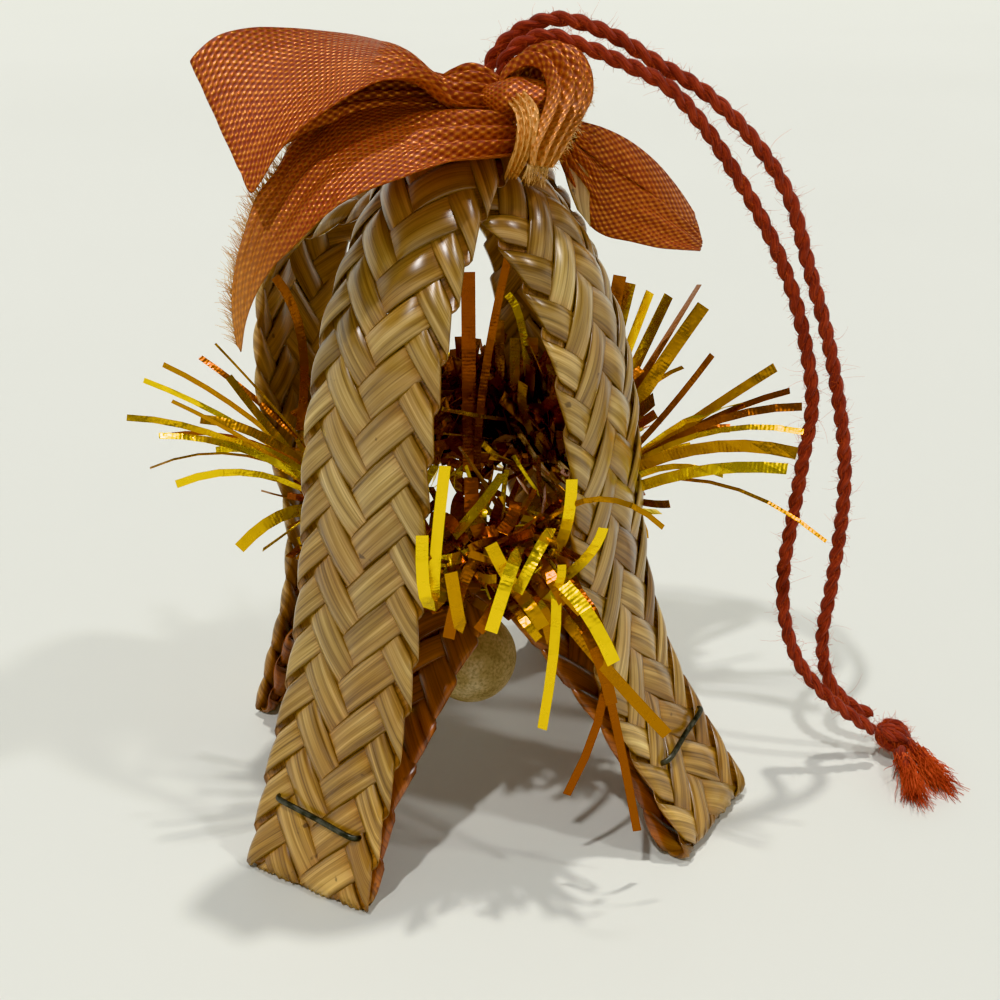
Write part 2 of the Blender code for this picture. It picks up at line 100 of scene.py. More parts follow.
# Each leg's middle line as (radius, height): first down the outside, then up the inside.
LEGS = {
    "front": (
        [(8.3, 82.0), (14.7, 74.8), (19.6, 65.2), (22.7, 53.2), (24.3, 40.0), (28.0, 23.0),
         (32.4, 12.0), (35.4, 5.0)],
        [(37.2, 0.85), (35.5, 1.2), (33.5, 5.2), (30.6, 11.1), (25.5, 15.2), (21.4, 19.1),
         (17.5, 22.8), (12.5, 26.2)],
    ),
    "back": (
        [(8.3, 82.0), (15.6, 75.0), (20.8, 66.4), (22.6, 55.0), (22.9, 43.0), (26.0, 27.0),
         (31.4, 13.0), (35.1, 5.2)],
        [(37.1, 0.85), (35.4, 1.2), (33.3, 5.2), (29.8, 11.8), (25.2, 15.8), (21.2, 19.4),
         (17.5, 22.8), (12.5, 26.2)],
    ),
    "right": (
        [(8.3, 79.9), (13.9, 73.4), (18.0, 64.4), (20.0, 54.0), (20.9, 42.0), (22.6, 30.0),
         (26.0, 19.0), (30.6, 11.0), (35.0, 5.0)],
        [(36.9, 1.7), (34.8, 0.7), (32.8, 2.2), (31.2, 5.0), (28.9, 9.8), (24.0, 16.6),
         (20.5, 20.4), (17.5, 23.7), (12.5, 28.2)],
    ),
    "left": (
        [(8.3, 79.9), (17.0, 75.6), (23.2, 71.8), (26.7, 67.0), (28.2, 58.0), (27.4, 46.0),
         (24.4, 34.0), (24.9, 23.0), (27.8, 12.0), (29.8, 5.4)],
        [(31.2, 0.85), (29.4, 1.2), (28.0, 5.4), (26.0, 11.6), (23.0, 16.8), (20.2, 20.4),
         (17.2, 23.9), (12.5, 28.2)],
    ),
}
LEG_TURNS = {"front": -90.0, "right": 0.0, "back": 90.0, "left": 180.0}

# Straw end that stands out by the right tail: left and right edges, in the bow frame
LOOSE_STRAW = [
    ((11.4, 0.8, 82.4), (13.6, 1.5, 81.8)), ((11.6, 0.5, 80.0), (14.7, 1.5, 78.6)),
    ((12.3, 0.3, 77.5), (14.8, 1.3, 75.3)), ((13.3, 0.6, 75.0), (15.0, 1.6, 72.7)),
]

# Ribbon: rows of points on its far selvedge, its middle and its near selvedge, in the bow frame
RIBBON_WIDTH = 15.9
RIBBON_THICKNESS = 0.22
WEAVE_STEP = (0.36, 0.7)
PLEATS = 4
RIBBON_LOOP = [
    ((4.0, -1.6, 89.5), (4.2, -3.5, 88.9), (4.0, -5.2, 87.9)),
    ((2.3, -0.8, 90.9), (2.5, -3.6, 89.7), (2.5, -6.2, 87.9)),
    ((0.6, -0.2, 91.4), (0.7, -3.8, 90.1), (0.7, -7.0, 88.1)),
    ((-1.1, 0.2, 90.7), (-1.2, -3.9, 89.9), (-1.3, -7.8, 88.6)),
    ((-2.6, 0.6, 89.9), (-2.5, -4.0, 90.0), (-2.6, -8.6, 89.7)),
    ((-4.2, 1.2, 90.1), (-4.0, -4.5, 91.1), (-4.3, -10.2, 91.1)),
    ((-6.3, 1.6, 92.4), (-6.0, -5.3, 92.8), (-6.4, -12.2, 91.7)),
    ((-8.8, 1.2, 94.0), (-8.9, -6.5, 93.7), (-9.4, -14.0, 91.6)),
    ((-12.0, 0.2, 95.0), (-11.9, -8.0, 93.7), (-11.8, -15.8, 90.7)),
    ((-15.8, -1.6, 95.7), (-15.2, -9.7, 93.0), (-14.7, -17.2, 89.0)),
    ((-20.0, -4.0, 96.3), (-18.7, -11.4, 91.9), (-17.6, -18.4, 87.0)),
    ((-23.5, -7.4, 96.6), (-21.5, -13.5, 90.7), (-19.6, -19.6, 84.8)),
    ((-26.6, -10.8, 96.0), (-23.7, -15.7, 89.3), (-20.8, -20.8, 82.9)),
    ((-28.7, -14.0, 94.0), (-25.3, -17.5, 87.6), (-22.0, -21.6, 81.5)),
    ((-28.4, -11.4, 93.0), (-25.6, -16.2, 87.6), (-22.5, -20.6, 83.0)),
    ((-25.3, -6.6, 91.8), (-23.0, -12.2, 87.6), (-20.8, -17.6, 84.4)),
    ((-18.9, -2.0, 90.2), (-17.6, -7.3, 88.6), (-16.4, -12.6, 86.9)),
    ((-12.2, 0.6, 91.0), (-11.5, -3.7, 89.4), (-10.9, -8.0, 87.7)),
    ((-5.8, 1.0, 91.2), (-5.4, -2.3, 89.3), (-5.0, -5.6, 87.4)),
    ((-0.6, 0.2, 89.9), (-0.3, -2.4, 88.7), (0.0, -5.0, 87.5)),
    ((4.0, -1.8, 89.1), (4.0, -3.2, 88.5), (4.0, -4.6, 87.9)),
]
RIBBON_FRONT_TAIL = [
    ((5.6, -5.6, 88.3), (6.2, -7.2, 86.1), (6.7, -8.6, 83.7)),
    ((3.9, -5.2, 88.0), (4.8, -8.1, 86.0), (5.6, -10.6, 83.6)),
    ((0.6, -4.6, 88.1), (1.6, -9.0, 86.3), (2.4, -13.0, 83.5)),
    ((-2.8, -4.0, 88.4), (-1.9, -10.0, 86.5), (-1.1, -15.6, 83.5)),
    ((-6.4, -4.0, 88.7), (-5.3, -11.2, 86.5), (-4.4, -17.8, 83.0)),
    ((-10.0, -4.6, 88.9), (-8.7, -12.2, 86.1), (-7.4, -19.4, 82.3)),
    ((-13.5, -6.0, 88.8), (-12.1, -13.6, 85.5), (-10.7, -20.8, 81.3)),
    ((-16.4, -8.4, 87.6), (-15.1, -15.2, 84.0), (-13.6, -21.6, 79.8)),
    ((-18.7, -11.6, 85.3), (-17.4, -16.9, 81.8), (-16.0, -21.8, 77.8)),
    ((-20.4, -14.6, 82.4), (-19.3, -18.2, 79.3), (-18.0, -21.6, 75.8)),
    ((-22.2, -16.8, 80.2), (-21.0, -19.2, 77.2), (-19.8, -21.4, 74.1)),
    ((-23.3, -18.4, 77.3), (-22.3, -19.8, 74.7), (-21.3, -21.2, 72.2)),
    ((-24.4, -19.6, 73.8), (-23.5, -20.3, 71.9), (-22.6, -21.0, 69.9)),
    ((-25.1, -20.4, 69.6), (-24.4, -20.6, 68.4), (-23.7, -20.9, 67.1)),
    ((-24.9, -20.6, 64.7), (-24.6, -20.7, 64.3), (-24.4, -20.8, 63.9)),
]
RIBBON_RIGHT_TAIL = [
    ((9.6, -2.2, 86.9), (9.5, -3.3, 86.4), (9.5, -4.4, 85.9)),
    ((11.4, -0.6, 86.0), (11.5, -1.2, 83.7), (11.1, -1.4, 81.5)),
    ((13.2, 1.4, 85.2), (13.6, 0.6, 81.2), (12.7, 1.2, 77.2)),
    ((16.5, 4.4, 83.6), (16.5, 2.2, 78.3), (14.8, 2.4, 72.9)),
    ((19.9, 7.0, 81.7), (19.3, 3.7, 76.8), (17.0, 3.0, 71.3)),
    ((23.3, 9.2, 78.8), (22.6, 5.3, 75.0), (20.3, 3.6, 70.4)),
    ((26.4, 11.2, 75.0), (25.6, 7.3, 72.6), (23.7, 4.6, 69.4)),
    ((29.0, 12.4, 71.4), (28.2, 9.0, 70.4), (26.8, 6.0, 68.8)),
    ((30.0, 12.2, 68.6), (29.8, 10.1, 68.5), (29.4, 8.0, 68.2)),
]
RIBBON_TIE = [
    ((9.8, 3.6, 87.8), (7.1, -0.5, 88.7), (4.0, -4.4, 89.6)),
    ((10.1, 3.8, 89.5), (7.1, -0.3, 90.3), (4.4, -4.6, 91.0)),
    ((10.5, 3.4, 91.1), (7.5, -0.4, 92.0), (5.4, -4.8, 92.0)),
    ((11.3, 2.6, 92.4), (8.9, -1.1, 93.7), (6.9, -5.2, 92.8)),
    ((12.7, 1.4, 92.5), (11.1, -2.7, 93.6), (8.5, -6.2, 92.5)),
    ((14.0, 0.4, 90.8), (12.5, -4.0, 91.7), (9.3, -7.4, 91.2)),
    ((14.2, -0.6, 88.7), (12.7, -5.2, 89.4), (9.4, -8.8, 89.7)),
    ((13.5, -2.6, 87.1), (11.8, -6.8, 87.7), (8.9, -10.2, 88.1)),
    ((12.2, -5.6, 85.4), (10.6, -8.9, 86.0), (8.0, -11.6, 86.3)),
    ((10.9, -8.4, 83.8), (9.4, -10.7, 84.2), (7.3, -12.4, 84.5)),
    ((9.5, -10.2, 82.1), (8.4, -11.5, 82.5), (7.1, -12.6, 82.8)),
]
RIBBON_WRAP = [
    ((4.5, -1.0, 89.9), (3.9, -1.4, 89.5), (3.7, -1.6, 88.8)),
    ((5.6, -4.4, 89.9), (4.8, -4.8, 89.7), (4.4, -5.0, 88.8)),
    ((7.1, -7.6, 89.5), (6.0, -8.2, 89.4), (5.2, -8.4, 88.4)),
    ((8.2, -9.8, 88.6), (6.9, -10.6, 88.5), (5.8, -10.8, 87.5)),
    ((8.4, -11.0, 87.1), (7.2, -11.9, 86.9), (5.8, -12.2, 86.2)),
    ((8.0, -11.8, 85.3), (6.9, -12.6, 85.0), (5.6, -12.8, 84.7)),
    ((7.0, -11.6, 83.1), (6.1, -11.9, 82.8), (5.0, -12.0, 82.7)),
    ((6.1, -9.0, 80.8), (5.3, -9.1, 80.8), (4.5, -9.0, 80.8)),
]
# Hem folded to the front along the top of the right tail
RIBBON_HEM = [
    ((12.8, 0.6, 85.6), (12.9, 0.1, 84.4), (12.8, 0.4, 83.0)),
    ((16.3, 3.6, 84.2), (16.5, 2.6, 82.4), (16.2, 2.4, 80.4)),
    ((19.8, 6.2, 82.2), (20.0, 4.8, 80.2), (19.6, 4.0, 78.2)),
    ((23.3, 8.4, 79.3), (23.5, 6.8, 77.4), (22.9, 5.6, 75.8)),
    ((26.5, 10.4, 75.6), (26.5, 9.0, 74.2), (25.9, 7.8, 73.2)),
    ((28.9, 11.8, 72.2), (28.9, 11.0, 71.4), (28.5, 10.2, 70.9)),
]
KNOT_CENTRE = (6.5, -4.4, 88.7)
KNOT_RADII = (4.9, 3.9, 2.4)

# Hanging loop: two runs of two-ply wool, in the bow frame
YARN_LAY = 4.8
PLY_MAP_GAP = 300.0
YARN_OUTER = [
    (2.1, 5.6, 87.4), (2.5, 5.6, 90.2), (3.6, 5.6, 92.7), (6.3, 5.2, 95.2), (10.7, 4.4, 96.6),
    (16.6, 3.2, 95.1), (22.3, 2.2, 91.9), (28.1, 0.9, 88.6), (33.9, 0.0, 83.3), (38.5, 0.0, 76.8),
    (41.4, 0.0, 68.8), (44.5, 0.0, 59.8), (46.8, 0.0, 51.0), (48.3, 0.0, 43.0), (48.7, 0.0, 35.9),
    (48.2, -0.2, 25.5), (47.6, -0.4, 16.7), (49.0, -0.7, 10.8), (52.1, -1.0, 7.2), (55.4, -1.3, 5.5),
]
YARN_INNER = [
    (4.9, 3.0, 87.5), (4.1, 2.6, 90.3), (5.4, 2.6, 93.2), (9.2, 2.5, 94.9), (13.4, 1.8, 93.9),
    (17.6, 1.0, 92.3), (23.3, 0.0, 89.6), (27.8, -0.2, 85.1), (32.0, 0.0, 79.4), (36.4, 0.0, 72.4),
    (39.9, 0.0, 65.0), (42.2, 0.0, 57.6), (43.5, 0.0, 50.5), (43.0, 0.0, 43.4), (42.3, 0.0, 35.0),
    (41.6, -0.4, 27.5), (42.0, -1.6, 20.9), (44.3, -3.0, 14.6), (48.7, -4.0, 9.7), (55.2, -4.0, 4.6),
]
YARN_KNOT_CENTRE = (58.1, -2.4, 3.1)
YARN_TAILS = [((59.6, -3.6, 2.8), (62.4, -9.4, 1.1)), ((58.4, -4.6, 2.4), (58.8, -12.2, 1.1))]

# Tinsel
RING_HEIGHT = 38.0
RING_RADIUS = 16.2
FOIL_THICKNESS = 0.05
# Long fronds, in the bow frame: tip, width, and how far the middle stands above a straight line
LONG_FRONDS = [
    ((-42.0, -5.0, 50.5), 0.8, 3.0), ((-42.0, 5.0, 52.0), 0.7, 1.5), ((-37.0, -10.0, 50.0), 0.9, 2.5),
    ((-40.5, 10.0, 52.5), 0.7, 2.0), ((-35.0, -12.0, 44.5), 1.0, 3.5), ((-35.5, 10.0, 53.5), 0.8, 1.0),
    ((-31.0, 5.0, 52.5), 1.1, -1.0), ((-28.0, -12.0, 36.0), 1.5, 3.0), ((-38.5, -2.0, 47.0), 0.5, 3.0),
    ((-33.0, 8.0, 56.0), 0.3, 0.5), ((-36.0, -6.0, 53.0), 0.6, 1.0), ((-34.0, 0.0, 48.5), 1.2, 2.5),
    ((-39.0, -8.0, 45.0), 0.5, 4.0), ((-30.0, -4.0, 47.0), 1.2, 2.0), ((-33.0, 3.0, 43.0), 1.0, 3.0),
    ((19.5, 10.0, 64.5), 1.7, 0.0), ((24.0, 15.0, 61.0), 1.8, 0.0), ((26.5, 15.0, 60.5), 1.7, 0.0),
    ((30.5, 15.0, 62.0), 1.8, 0.0), ((30.5, 10.0, 60.5), 1.8, 0.5), ((28.5, 12.0, 51.5), 0.6, 2.5),
    ((21.0, 12.0, 63.0), 1.6, 0.0), ((30.5, 0.0, 57.0), 0.8, -1.0), ((37.5, -5.0, 57.0), 1.2, 0.5),
    ((39.5, -5.0, 54.0), 1.1, 2.0), ((40.5, -8.0, 53.0), 1.0, 3.0), ((34.0, -4.0, 52.0), 1.2, 2.5),
    ((40.5, -10.0, 50.5), 0.7, 3.5), ((39.5, -12.0, 48.5), 1.5, 3.0), ((38.5, -12.0, 46.5), 1.4, 2.0),
    ((44.5, -10.0, 36.0), 0.5, 5.0), ((33.0, -2.0, 48.0), 1.3, 2.5), ((31.5, -8.0, 44.0), 1.0, 3.0),
]
# Fronds set singly, most of them between the front legs: root, middle, tip, width and tone (painted
# reflection)
FRONT_FRONDS = [
    ((-1.5, -18, 37.5), (-3.5, -25, 36), (-2, -26, 52.5), 1.3, 1.00),
    ((-1.5, -19, 36), (-4, -28, 36.5), (-4.5, -29, 45.5), 1.4, 0.95),
    ((-1.5, -18, 37.5), (-0.5, -25, 32), (-1.5, -27, 40), 1.5, 0.50),
    ((6.5, -18, 38), (5.5, -26, 40.5), (3, -28, 33), 1.5, 1.00),
    ((7.5, -20, 33), (5.5, -25, 37.5), (3, -26, 43), 1.5, 0.70),
    ((10, -19, 41.5), (8.5, -24, 41.5), (6, -26, 37), 1.3, 1.00),
    ((8.5, -18, 37.5), (10.5, -25, 35.5), (9, -27, 19.5), 1.2, 0.85),
    ((7.5, -19, 37.5), (12.5, -27, 37), (17, -29, 29.5), 1.6, 0.90),
    ((7.5, -19, 36), (14.5, -27, 30), (23.5, -29, 20), 1.4, 0.35),
    ((11, -18, 35.5), (16.5, -25, 27.5), (12, -28, 11), 1.0, 0.05),
    ((12.5, -18, 35.5), (16, -26, 27), (20.5, -29, 6.5), 1.0, 0.08),
    ((10, -18, 37.5), (11.5, -23, 43.5), (12, -25, 50.5), 1.3, 0.90),
    ((8.5, -18, 41.5), (15, -27, 49), (22, -28, 46), 0.6, 0.40),
    ((9.5, -19, 34), (13.5, -25, 40.5), (15.5, -27, 45.5), 1.2, 0.95),
    ((8.5, -20, 32), (10.5, -25, 37), (11, -26, 40.5), 1.0, 0.80),
    ((4.5, -19, 34.5), (6.5, -24, 35.5), (9, -26, 32.5), 1.6, 0.50),
    ((4, -18, 33.5), (6, -25, 34), (8.5, -27, 31.5), 1.0, 0.60),
    ((8, -18, 39), (10, -24, 38), (13.5, -26, 34.5), 1.5, 0.40),
    ((9.5, -18, 34.5), (14, -26, 32), (17, -28, 23.5), 1.4, 0.12),
    ((6.5, -17, 39.5), (9.5, -24, 38.5), (11.5, -25, 35), 1.5, 0.30),
    ((4.5, -17, 39.5), (2.5, -22, 41.5), (0.5, -24, 41.5), 1.0, 0.25),
    ((6.5, -18, 37.5), (4, -23, 39.5), (0.5, -24, 41), 0.9, 0.30),
    ((4, -17, 39), (0.5, -23, 38.5), (-2, -24, 30), 1.4, 0.15),
    ((6.5, -17, 37), (4, -23, 34.5), (1.5, -25, 31.5), 1.4, 0.10),
    ((0, 6, 39), (0, 6, 51.5), (0, 6, 66), 1.8, 0.00),
    ((1, 4, 40), (2, 4, 52.5), (5, 3, 68.5), 1.0, 0.05),
    ((6.5, 12, 44), (2.5, 2, 48), (-3, -6, 52), 0.5, 0.60),
    ((4, 12, 41), (1.5, 4, 44.5), (-3, -4, 48), 0.2, 0.40),
    ((6, 13, 40.5), (6, 12, 48.5), (6, 12, 55.5), 1.3, 0.70),
    ((4, 14, 40.5), (4, 13, 49.5), (4, 12, 58), 1.3, 0.20),
    ((8, 13, 46.5), (7, 11, 57), (5, 10, 62), 1.0, 0.90),
    ((-21.5, 0, 47), (-20, -4, 60), (-22.5, -6, 68.5), 1.1, 0.10),
]
SHORT_FRONDS = 420
FRONT_TUFT = 70
REAR_FRONDS = 420
HIDDEN_GAP_FRONDS = 34
# Painted reflections of the long fronds and of those in the hidden gap, from 0 for brown foil
# that reflects dim surroundings to 1 for lemon foil that catches the light
LONG_PAINTED_REFLECTIONS = (0.1, 0.45, 0.7, 0.95)
# A short frond is left out if a point of it lies both within LEG_MARGIN of a leg's layer and
# within LEG_HALF_WIDTH of its middle. Inner layers are tested up to INNER_LAYER_TOP.
LEG_MARGIN = 1.3
LEG_HALF_WIDTH = 9.8
INNER_LAYER_TOP = 31.0

# Bead
BEAD_HOLE = 0.14


def in_object(points):
    """Points of the bow frame, turned by BOW_TURN about +Z into the object's frame."""
    x, y, z = np.moveaxis(np.asarray(points, float), -1, 0)
    c, s = math.cos(BOW_TURN), math.sin(BOW_TURN)
    return np.stack([c * x - s * y, s * x + c * y, z], axis=-1)


def unit(vectors):
    """Vectors divided by their lengths."""
    return vectors / np.maximum(np.linalg.norm(vectors, axis=-1, keepdims=True), 1e-9)


def ease(t):
    """Smooth step: three t squared less two t cubed, flat at 0 and at 1."""
    t = np.clip(t, 0.0, 1.0)
    return t * t * (3.0 - 2.0 * t)


def smooth(points, samples, closed=False):
    """Centripetal Catmull-Rom curve: each span blends the lines through its four nearest
    points, and its steps go as the square roots of the distances between them."""
    points = np.asarray(points, float)
    if closed:
        ring = np.vstack([points[-1:], points, points[:2]])
    else:
        ring = np.vstack([2 * points[:1] - points[1:2], points, 2 * points[-1:] - points[-2:-1]])
    a, b, c, d = ring[:-3, None], ring[1:-2, None], ring[2:-1, None], ring[3:, None]

    def gap(p, q):
        return np.sqrt(np.linalg.norm(q - p, axis=-1, keepdims=True))

    t1 = gap(a, b)
    t2 = t1 + gap(b, c)
    t3 = t2 + gap(c, d)
    t = t1 + (t2 - t1) * (np.arange(samples) / samples)[None, :, None]
    ab = a + (b - a) * t / t1
    bc = b + (c - b) * (t - t1) / (t2 - t1)
    cd = c + (d - c) * (t - t2) / (t3 - t2)
    abc = ab + (bc - ab) * t / t2
    bcd = bc + (cd - bc) * (t - t1) / (t3 - t1)
    curve = (abc + (bcd - abc) * (t - t1) / (t2 - t1)).reshape(-1, points.shape[1])
    return np.vstack([curve, points[:1] if closed else points[-1:]])


def lengths_along(line):
    """Running length of a polyline at each of its points."""
    steps = np.linalg.norm(np.diff(line, axis=0), axis=1)
    return np.concatenate([[0.0], np.cumsum(steps)])


def at_lengths(values, lengths, wanted):
    """Values given at running lengths, read at other lengths by linear interpolation."""
    return np.stack([np.interp(wanted, lengths, column) for column in values.T], axis=-1)


def even_line(points, count):
    """The smooth curve through the points, at count points spread evenly along it."""
    line = smooth(points, 12)
    lengths = lengths_along(line)
    return at_lengths(line, lengths, np.linspace(0.0, lengths[-1], count))


# Meshes

def tube_faces(tubes, rings, sides, closed=False):
    """Quads between neighbouring rings of several tubes whose points run tube, ring, side."""
    tube = np.arange(tubes)[:, None, None] * rings * sides
    ring = np.arange(rings if closed else rings - 1)[None, :, None]
    side = np.arange(sides)[None, None, :]
    here, there = tube + ring * sides, tube + (ring + 1) % rings * sides
    turn = (side + 1) % sides
    return np.stack([here + side, here + turn, there + turn, there + side], -1).reshape(-1, 4)


def end_faces(tubes, rings):
    """Quads that close both ends of four-sided tubes."""
    first = np.arange(tubes)[:, None] * rings * 4 + np.arange(4)[None, ::-1]
    last = np.arange(tubes)[:, None] * rings * 4 + (rings - 1) * 4 + np.arange(4)[None, :]
    return np.vstack([first, last])


def make_piece(name, points, faces, finish, slot, uv=None, round_shading=True, **marks):
    """One mesh object from points in millimetres and quads; marks are numbers at the points."""
    points = points.reshape(-1, 3)
    mesh = bpy.data.meshes.new(name)
    mesh.vertices.add(len(points))
    mesh.vertices.foreach_set("co", (points * MM).astype(np.float32).ravel())
    mesh.loops.add(faces.size)
    mesh.loops.foreach_set("vertex_index", faces.astype(np.int32).ravel())
    mesh.polygons.add(len(faces))
    mesh.polygons.foreach_set("loop_start", np.arange(0, faces.size, 4, dtype=np.int32))
    mesh.polygons.foreach_set("use_smooth", np.full(len(faces), round_shading))
    mesh.update(calc_edges=True)
    if uv is not None:
        layer = mesh.uv_layers.new(name="UVMap")
        corners = uv.reshape(-1, 2)[faces.ravel()].astype(np.float32)
        layer.data.foreach_set("uv", corners.ravel())
    for mark, values in marks.items():
        attribute = mesh.attributes.new(mark, "FLOAT", "POINT")
        attribute.data.foreach_set("value", np.ravel(values).astype(np.float32))
    face_out(mesh)
    mesh.materials.append(finish)
    piece = bpy.data.objects.new(name, mesh)
    bpy.context.scene.collection.objects.link(piece)
    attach(piece, "root")
    return piece


def face_out(mesh):
    """Turn every face's front side outwards."""
    bm = bmesh.new()
    bm.from_mesh(mesh)
    bmesh.ops.recalc_face_normals(bm, faces=bm.faces)
    bm.to_mesh(mesh)
    bm.free()


def round_rods(lines, radii, sides, up):
    """Rods along lines (rod, ring, xyz): each ring stands round its point, at the radius
    times the cosine and sine of even turns, on two axes square to the line and to up."""
    tangent = unit(np.gradient(lines, axis=1))
    across = unit(np.cross(tangent, np.broadcast_to(up, tangent.shape)))
    above = np.cross(across, tangent)
    turn = 2.0 * np.pi * (np.arange(sides) + 0.5) / sides
    radii = np.broadcast_to(radii, lines.shape[:2])[:, :, None, None]
    ring = (across[:, :, None] * np.cos(turn)[:, None] + above[:, :, None] * np.sin(turn)[:, None])
    return lines[:, :, None] + radii * ring


# Materials

def linear(colour):
    """An sRGB hex colour as linear red, green, blue and alpha 1."""
    parts = [int(colour[i:i + 2], 16) / 255.0 for i in (1, 3, 5)]
    return (*[p / 12.92 if p <= 0.04045 else ((p + 0.055) / 1.055) ** 2.4 for p in parts], 1.0)


def set_inputs(tree, node, inputs):
    """Link other nodes' outputs to a node's inputs, or set them to numbers and hex colours."""
    for name, value in dict(inputs).items():
        if isinstance(value, bpy.types.NodeSocket):
            tree.links.new(value, node.inputs[name])
        else:
            node.inputs[name].default_value = linear(value) if isinstance(value, str) else value


def add_node(tree, kind, inputs=(), out=0, stops=(), **settings):
    """Add a node, set its properties, inputs and colour ramp stops, and return one output."""
    node = tree.nodes.new("ShaderNode" + kind)
    for name, value in settings.items():
        setattr(node, name, value)
    set_inputs(tree, node, inputs)
    for index, (position, colour) in enumerate(stops):
        ramp = node.color_ramp.elements
        element = ramp[index] if index < 2 else ramp.new(position)
        element.position = position
        element.color = linear(colour)
    return node.outputs[out]


def new_material(name):
    """A material with its node tree and its shader."""
    material = bpy.data.materials.new(name)
    material.use_nodes = True
    return material, material.node_tree, material.node_tree.nodes["Principled BSDF"]


def straw_material():
    """Split wheat straw, dried and pressed flat: silky, with straight fibres about 0.25 mm
    apart, golden and brown where it has aged, and golden at the feet. Painted shade darkens
    each straw along its edges, as in the gaps between floats, and on the inner layer, with a
    painted amber reflection of the tinsel there; painted shadow of the bow and red light
    through the ribbon make it reddish brown under the bow."""
    material, tree, shader = new_material("pressed split straw")
    uv = add_node(tree, "UVMap", uv_map="UVMap")
    place = add_node(tree, "TexCoord", out="Object")
    tone = add_node(tree, "Attribute", out="Fac", attribute_name="tone")
    inside = add_node(tree, "Attribute", out="Fac", attribute_name="inside")
    along = add_node(tree, "Mapping", {"Vector": uv, "Scale": (0.03, 1.1, 1.0)})
    streaks = add_node(tree, "TexNoise", {"Vector": along, "Scale": 1.0, "Detail": 3.0, "Roughness": 0.6})
    fine = add_node(tree, "Mapping", {"Vector": uv, "Scale": (0.04, 4.2, 1.0)})
    fibres = add_node(tree, "TexNoise", {"Vector": fine, "Scale": 1.0, "Detail": 2.0})
    patches = add_node(tree, "TexNoise", {"Vector": place, "Scale": 110.0, "Detail": 2.0})
    specks = add_node(tree, "TexNoise", {"Vector": place, "Scale": 380.0, "Detail": 3.0})
    colour = add_node(tree, "ValToRGB", {"Fac": streaks},
                      stops=[(0.32, "#8C7240"), (0.50, "#C8B072"), (0.70, "#F2E2B0")])
    lines = add_node(tree, "ValToRGB", {"Fac": fibres},
                     stops=[(0.30, "#6E5A34"), (0.42, "#D8CCAE"), (0.62, "#FFFFFF")])
    colour = add_node(tree, "Mix", {0: 0.62, 6: colour, 7: lines}, out=2,
                      data_type="RGBA", blend_type="MULTIPLY")
    aged = add_node(tree, "ValToRGB", {"Fac": tone},
                    stops=[(0.0, "#A07A3C"), (0.5, "#DCC8A0"), (1.0, "#FFF6E4")])
    colour = add_node(tree, "Mix", {0: 0.9, 6: colour, 7: aged}, out=2,
                      data_type="RGBA", blend_type="MULTIPLY")
    golden = add_node(tree, "ValToRGB", {"Fac": patches}, stops=[(0.42, "#FFFFFF"), (0.66, "#E2BC74")])
    colour = add_node(tree, "Mix", {0: 0.4, 6: colour, 7: golden}, out=2,
                      data_type="RGBA", blend_type="MULTIPLY")
    height = add_node(tree, "SeparateXYZ", {"Vector": place}, out="Z")
    low = add_node(tree, "MapRange", {"Value": height, "From Min": 0.032, "From Max": 0.006,
                                      "To Min": 0.0, "To Max": 0.5})
    colour = add_node(tree, "Mix", {0: low, 6: colour, 7: "#C0AA6C"}, out=2,
                      data_type="RGBA", blend_type="OVERLAY")
    # Painted shadow of the bow, tinted red as painted light through the ribbon: the straw just under the
    # bow is multiplied by a reddish brown
    crown = add_node(tree, "MapRange", {"Value": height, "From Min": 0.072, "From Max": 0.081,
                                        "To Min": 0.0, "To Max": 0.75})
    colour = add_node(tree, "Mix", {0: crown, 6: colour, 7: "#BE6A40"}, out=2,
                      data_type="RGBA", blend_type="MULTIPLY")
    # Painted shadow: each straw darkens towards its edges, as in the gaps between floats
    across = add_node(tree, "SeparateXYZ", {"Vector": uv}, out="Y")
    edge = add_node(tree, "Math", {0: across}, operation="ABSOLUTE")
    edge = add_node(tree, "MapRange", {"Value": edge, "From Min": 1.6, "From Max": 1.9,
                                       "To Min": 0.0, "To Max": 0.6})
    colour = add_node(tree, "Mix", {0: edge, 6: colour, 7: "#70501F"}, out=2, data_type="RGBA")
    dots = add_node(tree, "MapRange", {"Value": specks, "From Min": 0.70, "From Max": 0.74,
                                       "To Min": 0.0, "To Max": 0.8})
    colour = add_node(tree, "Mix", {0: dots, 6: colour, 7: "#4A2E12"}, out=2, data_type="RGBA")
    # Painted shade, with a painted amber reflection of the tinsel: the inner layer and straw low in the
    # weave are multiplied by a dull orange
    shaded = add_node(tree, "Mix", {0: 1.0, 6: colour, 7: "#E8A468"}, out=2,
                      data_type="RGBA", blend_type="MULTIPLY")
    colour = add_node(tree, "Mix", {0: inside, 6: colour, 7: shaded}, out=2, data_type="RGBA")
    gloss = add_node(tree, "MapRange", {"Value": streaks, "From Min": 0.3, "From Max": 0.7,
                                        "To Min": 0.27, "To Max": 0.38})
    half = add_node(tree, "Math", {0: fibres, 1: 0.5}, operation="MULTIPLY")
    relief = add_node(tree, "Math", {0: half, 1: streaks}, operation="ADD")
    relief = add_node(tree, "Bump", {"Height": relief, "Strength": 0.5, "Distance": 0.08 * MM})
    set_inputs(tree, shader, {"Base Color": colour, "Roughness": gloss, "Normal": relief, "IOR": 1.54,
                              "Coat Weight": 0.8, "Coat Roughness": 0.28, "Coat IOR": 1.5})
    return material


